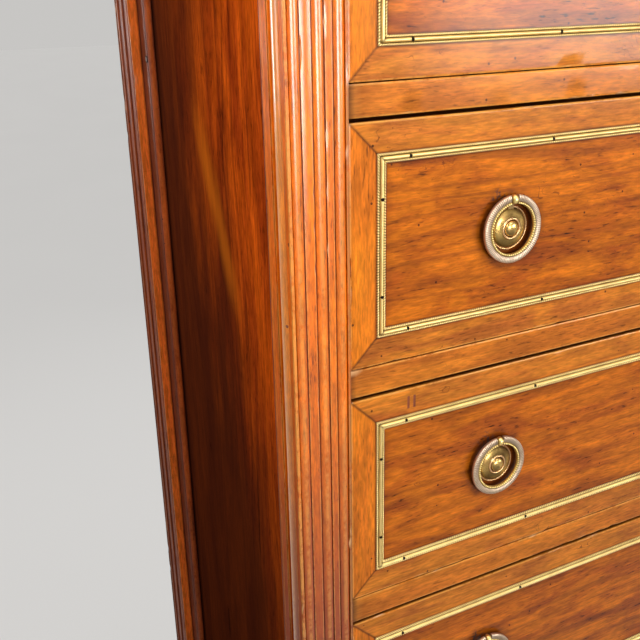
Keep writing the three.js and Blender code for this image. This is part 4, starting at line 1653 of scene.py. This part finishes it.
NECK = (
    # rise above the plate's middle, half width, nearest and furthest out
    (12.2, 2.3, 0.0, 1.5),
    (14.6, 2.0, 0.0, 2.0),
    (16.6, 1.5, 0.0, 3.4),
    (18.6, 1.3, 0.4, 4.6),
)


def plate_patina_and_reflection(radius, angle):
    """The dome is darkened above and below, and the button on its lower side: partly patina where the ring
    keeps the brass from being worn, partly painted dark reflection and shade.
    """
    if 7.5 < radius < 13.3:
        return 0.85 * ramp(abs(math.sin(angle + 0.3)), 0.3, 0.95)
    if radius < 4.8:
        return 0.7 * ramp(-math.sin(angle + 0.6), -0.1, 0.8)
    return 0.0


def about_pivot(x, z):
    """Sets a turned profile down on the axis that the ring swings about."""
    return lambda a, b, height: (x + height, FACE_Y - PIVOT_OUT - a, z + PIVOT_RISE + b)


def pull_plate(number, label, x, z):
    """Turned plate with its ball-headed pivot above and the stud that holds it behind."""
    shape = Shape()
    turned(shape, PLATE_PROFILE, PLATE_SIDES, facing(x, FACE_Y, z), patina=plate_patina_and_reflection)
    stud_tip = FRONT_THICKNESS + STUD_END
    stud = [
        (STUD_RADIUS, -0.2, 0.0, 0.5),
        (STUD_RADIUS, 0.7 - stud_tip, 0.4, 0.3),
        (STUD_RADIUS - 0.6, -stud_tip, 0.6, 0.2),
    ]
    turned(shape, stud, STUD_SIDES, facing(x, FACE_Y, z))
    rings = []
    for rise, half, near, far in NECK:
        rings.append([
            (x - half, FACE_Y - near, z + rise, 0.2, 0.6, 0.0),
            (x + half, FACE_Y - near, z + rise, 0.2, 0.6, 0.0),
            (x + half, FACE_Y - far, z + rise, 0.5, 0.2, 0.0),
            (x - half, FACE_Y - far, z + rise, 0.5, 0.2, 0.0),
        ])
    shape.skin(rings, caps=True)
    pivot_ball(shape, x, z)
    shape.build(
        f"plate_{number}_{label}", f"drawer_{number}", [PLATE_BRASS, GILT_BRASS],
        [f"pull_plate_{number}_{label}"], sharp_angle=50.0,
    )


def pivot_ball(shape, x, z):
    """The ball at the top of the plate, bored across for the ring's pin."""
    start = math.asin(BORE_RADIUS / BALL_RADIUS)
    profile = []
    for angle in evenly(start, math.pi - start, BALL_STEPS):
        radius = BALL_RADIUS * math.sin(angle)
        worn = ramp(radius, 0.5 * BALL_RADIUS, 0.9 * BALL_RADIUS)
        profile.append((radius, -BALL_HALF_WIDTH * math.cos(angle), worn, 0.6 * (1 - worn)))
    turned(shape, profile, BALL_SIDES, about_pivot(x, z), finish=1, bored=True)


def pull_ring(number, label, x, z):
    """The ring: milled across its face, beaded on its inner edge, open at the top for the ball."""
    shape = Shape()
    back = RING_STAND_OFF
    face = RING_STAND_OFF + RING_THICKNESS
    section = [
        # radius, out, reeding share, bead share, arris, grime
        (RING_INNER + 0.5, back, 0.0, 0.0, 0.0, 0.6),
        (RING_OUTER - 0.4, back, 0.0, 0.0, 0.0, 0.5),
        (RING_OUTER, back + 0.5, 0.0, 0.0, 0.3, 0.2),
        (RING_OUTER, face - 0.9, 0.0, 0.0, 0.5, 0.0),
        (RING_OUTER - 0.3, face - 0.45, 0.6, 0.0, 0.8, 0.0),
        (RING_OUTER - 1.0, face - 0.2, 1.0, 0.0, 0.4, 0.0),
        (RING_OUTER - 4.0, face - 0.2, 1.0, 0.0, 0.3, 0.0),
        (RING_OUTER - 4.3, face - 0.75, 0.0, 0.0, 0.0, 0.9),
        (RING_INNER + 1.45, face - 0.7, 0.0, 0.3, 0.0, 0.5),
        (RING_INNER + 0.95, face - 0.5, 0.0, 1.0, 0.9, 0.0),
        (RING_INNER + 0.35, face - 0.6, 0.0, 1.0, 0.9, 0.0),
        (RING_INNER, face - 1.2, 0.0, 0.3, 0.5, 0.0),
        (RING_INNER + 0.1, back + 0.6, 0.0, 0.0, 0.2, 0.0),
    ]
    gap = math.asin((BALL_HALF_WIDTH + BALL_CLEARANCE) / PIVOT_RISE)
    top = math.pi / 2
    rings = []
    for column, angle in enumerate(evenly(top + gap, top + 2 * math.pi - gap, RING_COLUMNS)):
        reed_high = column % 2
        bead_high = 0.0 if column % BEAD_COLUMNS == 0 else 1.0
        ring = []
        for radius, out, reeding, beading, arris, grime in section:
            rise = REED_RISE * reeding * (reed_high - 0.5) + RING_BEAD_RISE * beading * bead_high
            dirt_and_shade = max(grime, REED_GRIME * reeding * (1 - reed_high), beading * (1 - bead_high))
            ring.append((
                x + radius * math.cos(angle),
                FACE_Y - out - rise,
                z + radius * math.sin(angle),
                arris * (reed_high if reeding else 1.0),
                dirt_and_shade,
                0.0,
            ))
        rings.append(ring)

    def finish(level, corner):
        return 1 if GILT_FROM_POINT <= corner < len(section) - 1 else 0

    shape.skin(rings, caps=True, finish=finish)
    half = BALL_HALF_WIDTH + RING_PIN_REACH
    pin = [(PIN_RADIUS, -half, 0.2, 0.3), (PIN_RADIUS, half, 0.2, 0.3)]
    turned(shape, pin, RING_PIN_SIDES, about_pivot(x, z))
    shape.build(
        f"ring_{number}_{label}", f"pull_ring_{number}_{label}", [RING_BRASS, GILT_BRASS],
        [f"pull_ring_{number}_{label}"], sharp_angle=70.0,
    )


NUT_WIDTH = 8.0
NUT_THICKNESS = 3.2


def pull_nut(number, label, x, z):
    """Square brass nut on the end of the stud, inside the drawer."""
    shape = Shape()
    start = FACE_Y + FRONT_THICKNESS
    half = NUT_WIDTH / 2
    board(
        shape,
        (x - half, start + 0.1, z - half),
        (x + half, start + NUT_THICKNESS, z + half),
        ease=0.7, axis=1,
    )
    shape.build(f"nut_{number}_{label}", f"drawer_{number}", [PLATE_BRASS])


def drawers():
    """All the drawers with their mouldings and pulls, from the top down."""
    for number in range(1, DRAWERS + 1):
        low = DRAWER_LOW.z - (number - 1) * PITCH
        drawer_front(number, low)
        drawer_box(number, low)
        moulding(number, low)
        for label, side in SIDES:
            x, z = side * PULL_X, low + DRAWER_HEIGHT / 2
            pull_plate(number, label, x, z)
            pull_ring(number, label, x, z)
            pull_nut(number, label, x, z)


# Floor, light and camera, in metres

FLOOR_HALF = 20.0
PAPER = (255, 253, 250)
PAPER_TONES = ((126, 125, 124), (132, 131, 130))
PAPER_FIBRES = (119, 118, 117)
PAPER_FOR_LIGHT = (88, 86, 84)
BLACK = (0, 0, 0)
STUDIO_STRENGTH = 0.11
PALE_STRENGTH = 0.575
PAPER_GLOW = 0.53


def seen_directly(nodes):
    """1 where a surface is looked at, also in a mirror or through glass, and 0 for its light on things."""
    path = nodes.add("LightPath").outputs
    seen = nodes.math("ADD", path["Is Camera Ray"], path["Is Glossy Ray"], clamp=True)
    return nodes.math("ADD", seen, path["Is Transmission Ray"], clamp=True)


def floor_material():
    """Pale paper with a faint cloudiness. It is paler to the eye than to the light it throws back."""
    material, nodes, shader, place = new_material("pale floor")
    cloud = nodes.rise(nodes.noise(place, 1.7, 4.0, 0.55), 0.3, 0.7)
    fine = nodes.rise(nodes.noise(place, 260.0, 3.0), 0.3, 0.7)
    color = nodes.lay(nodes.mix(cloud, *PAPER_TONES), PAPER_FIBRES, fine, 0.25)
    seen = seen_directly(nodes)
    nodes.fill(shader, {
        "Base Color": nodes.mix(seen, PAPER_FOR_LIGHT, color),
        "Emission Color": nodes.mix(seen, BLACK, PAPER),
        "Emission Strength": PAPER_GLOW,
        "Specular IOR Level": 0.1,
        "Roughness": nodes.rise(cloud, 0.0, 1.0, 0.7, 0.82),
    })
    return material


def floor():
    """A sheet of paper under the object, so wide that its edge is never near."""
    points = [(x * FLOOR_HALF, y * FLOOR_HALF, 0.0) for x, y in ((-1, -1), (1, -1), (1, 1), (-1, 1))]
    mesh = bpy.data.meshes.new("floor")
    mesh.from_pydata(points, [], [(0, 1, 2, 3)])
    mesh.materials.append(floor_material())
    linked("floor", mesh)


def softbox(name, place, aim, width, height, power, spread=180.0):
    """A square-edged lamp. A narrow spread keeps its light off what lies far from its aim."""
    lamp = bpy.data.lights.new(name, "AREA")
    lamp.shape = "RECTANGLE"
    lamp.size = width
    lamp.size_y = height
    lamp.energy = power
    lamp.spread = math.radians(spread)
    piece = linked(name, lamp)
    piece.location = place
    piece.rotation_euler = (Vector(aim) - Vector(place)).to_track_quat("-Z", "Y").to_euler()


def light():
    """Windows at both sides of the front, softer ones behind and above, and a dim studio round all."""
    # name, place, aim, width, height, power
    softbox("strip", (0.04, -3.1, 1.12), (-0.2, -0.16, 1.3), 1.2, 1.1, 5.0, spread=50.0)
    softbox("low strip", (0.1, -3.1, 0.55), (-0.27, -0.16, 0.9), 1.2, 0.4, 4.0)
    softbox("window", (2.2, -2.65, 1.1), (-0.1, -0.16, 1.08), 1.2, 0.7, 7.6, spread=90.0)
    softbox("key", (0.12, -0.85, 1.5), (-0.12, -0.16, 1.12), 0.4, 0.4, 0.62, spread=90.0)
    softbox("left", (-0.72, -0.46, 1.5), (-0.27, -0.04, 1.1), 0.4, 0.4, 3.2)
    softbox("side window", (-2.0, 0.1, 1.17), (-0.27, -0.12, 1.25), 1.5, 0.7, 1.75, spread=60.0)
    softbox("far left", (-1.75, 2.75, 1.1), (-0.27, 0.0, 1.0), 0.7, 1.0, 5.6, spread=90.0)
    softbox("rear left", (-1.07, 3.0, 1.3), (-0.29, 0.11, 1.05), 0.4, 0.9, 0.75, spread=90.0)
    softbox("back", (0.9, 2.4, 1.3), (0.0, 0.1, 0.8), 2.0, 1.8, 9.0, spread=90.0)
    softbox("above", (0.3, -0.3, 3.6), (0.0, 0.0, 1.2), 2.4, 2.4, 26.0)
    world = bpy.data.worlds.new("studio")
    bpy.context.scene.world = world
    world.use_nodes = True
    nodes = Nodes(world.node_tree)
    strength = nodes.rise(seen_directly(nodes), 0.0, 1.0, STUDIO_STRENGTH, PALE_STRENGTH)
    nodes.fill(world.node_tree.nodes["Background"], {"Color": PAPER, "Strength": strength})


CAMERA_PLACE = (-472.3, -587.15, 1067.6)
CAMERA_YAW = 26.712
CAMERA_PITCH = -20.844
CAMERA_ROLL = -1.238
LENS = 48.655
SENSOR = 36.0


def camera():
    """The photograph's view: close to the left front corner, looking down along the drawers."""
    yaw, pitch, roll = (math.radians(angle) for angle in (CAMERA_YAW, CAMERA_PITCH, CAMERA_ROLL))
    right = Vector((math.cos(yaw), -math.sin(yaw), 0.0))
    level = Vector((math.sin(yaw), math.cos(yaw), 0.0))
    ahead = level * math.cos(pitch) + Vector((0.0, 0.0, 1.0)) * math.sin(pitch)
    up = right.cross(ahead)
    leaned_right = right * math.cos(roll) + up * math.sin(roll)
    leaned_up = up * math.cos(roll) - right * math.sin(roll)
    data = bpy.data.cameras.new("camera")
    data.sensor_width = SENSOR
    data.lens = LENS
    data.clip_start = 0.02
    piece = linked("camera", data)
    turn = Matrix((leaned_right, leaned_up, -ahead)).transposed().to_4x4()
    piece.matrix_world = Matrix.Translation(Vector(CAMERA_PLACE) * MM) @ turn
    bpy.context.scene.camera = piece


camera()
posts()
for side_label, side_sign in SIDES:
    side_panel(side_label, side_sign)
for rail_number in range(1, DRAWERS + 2):
    dust_board(rail_number)
back_boards()
top_board()
drawers()
floor()
light()
bpy.context.scene.view_settings.view_transform = "Standard"
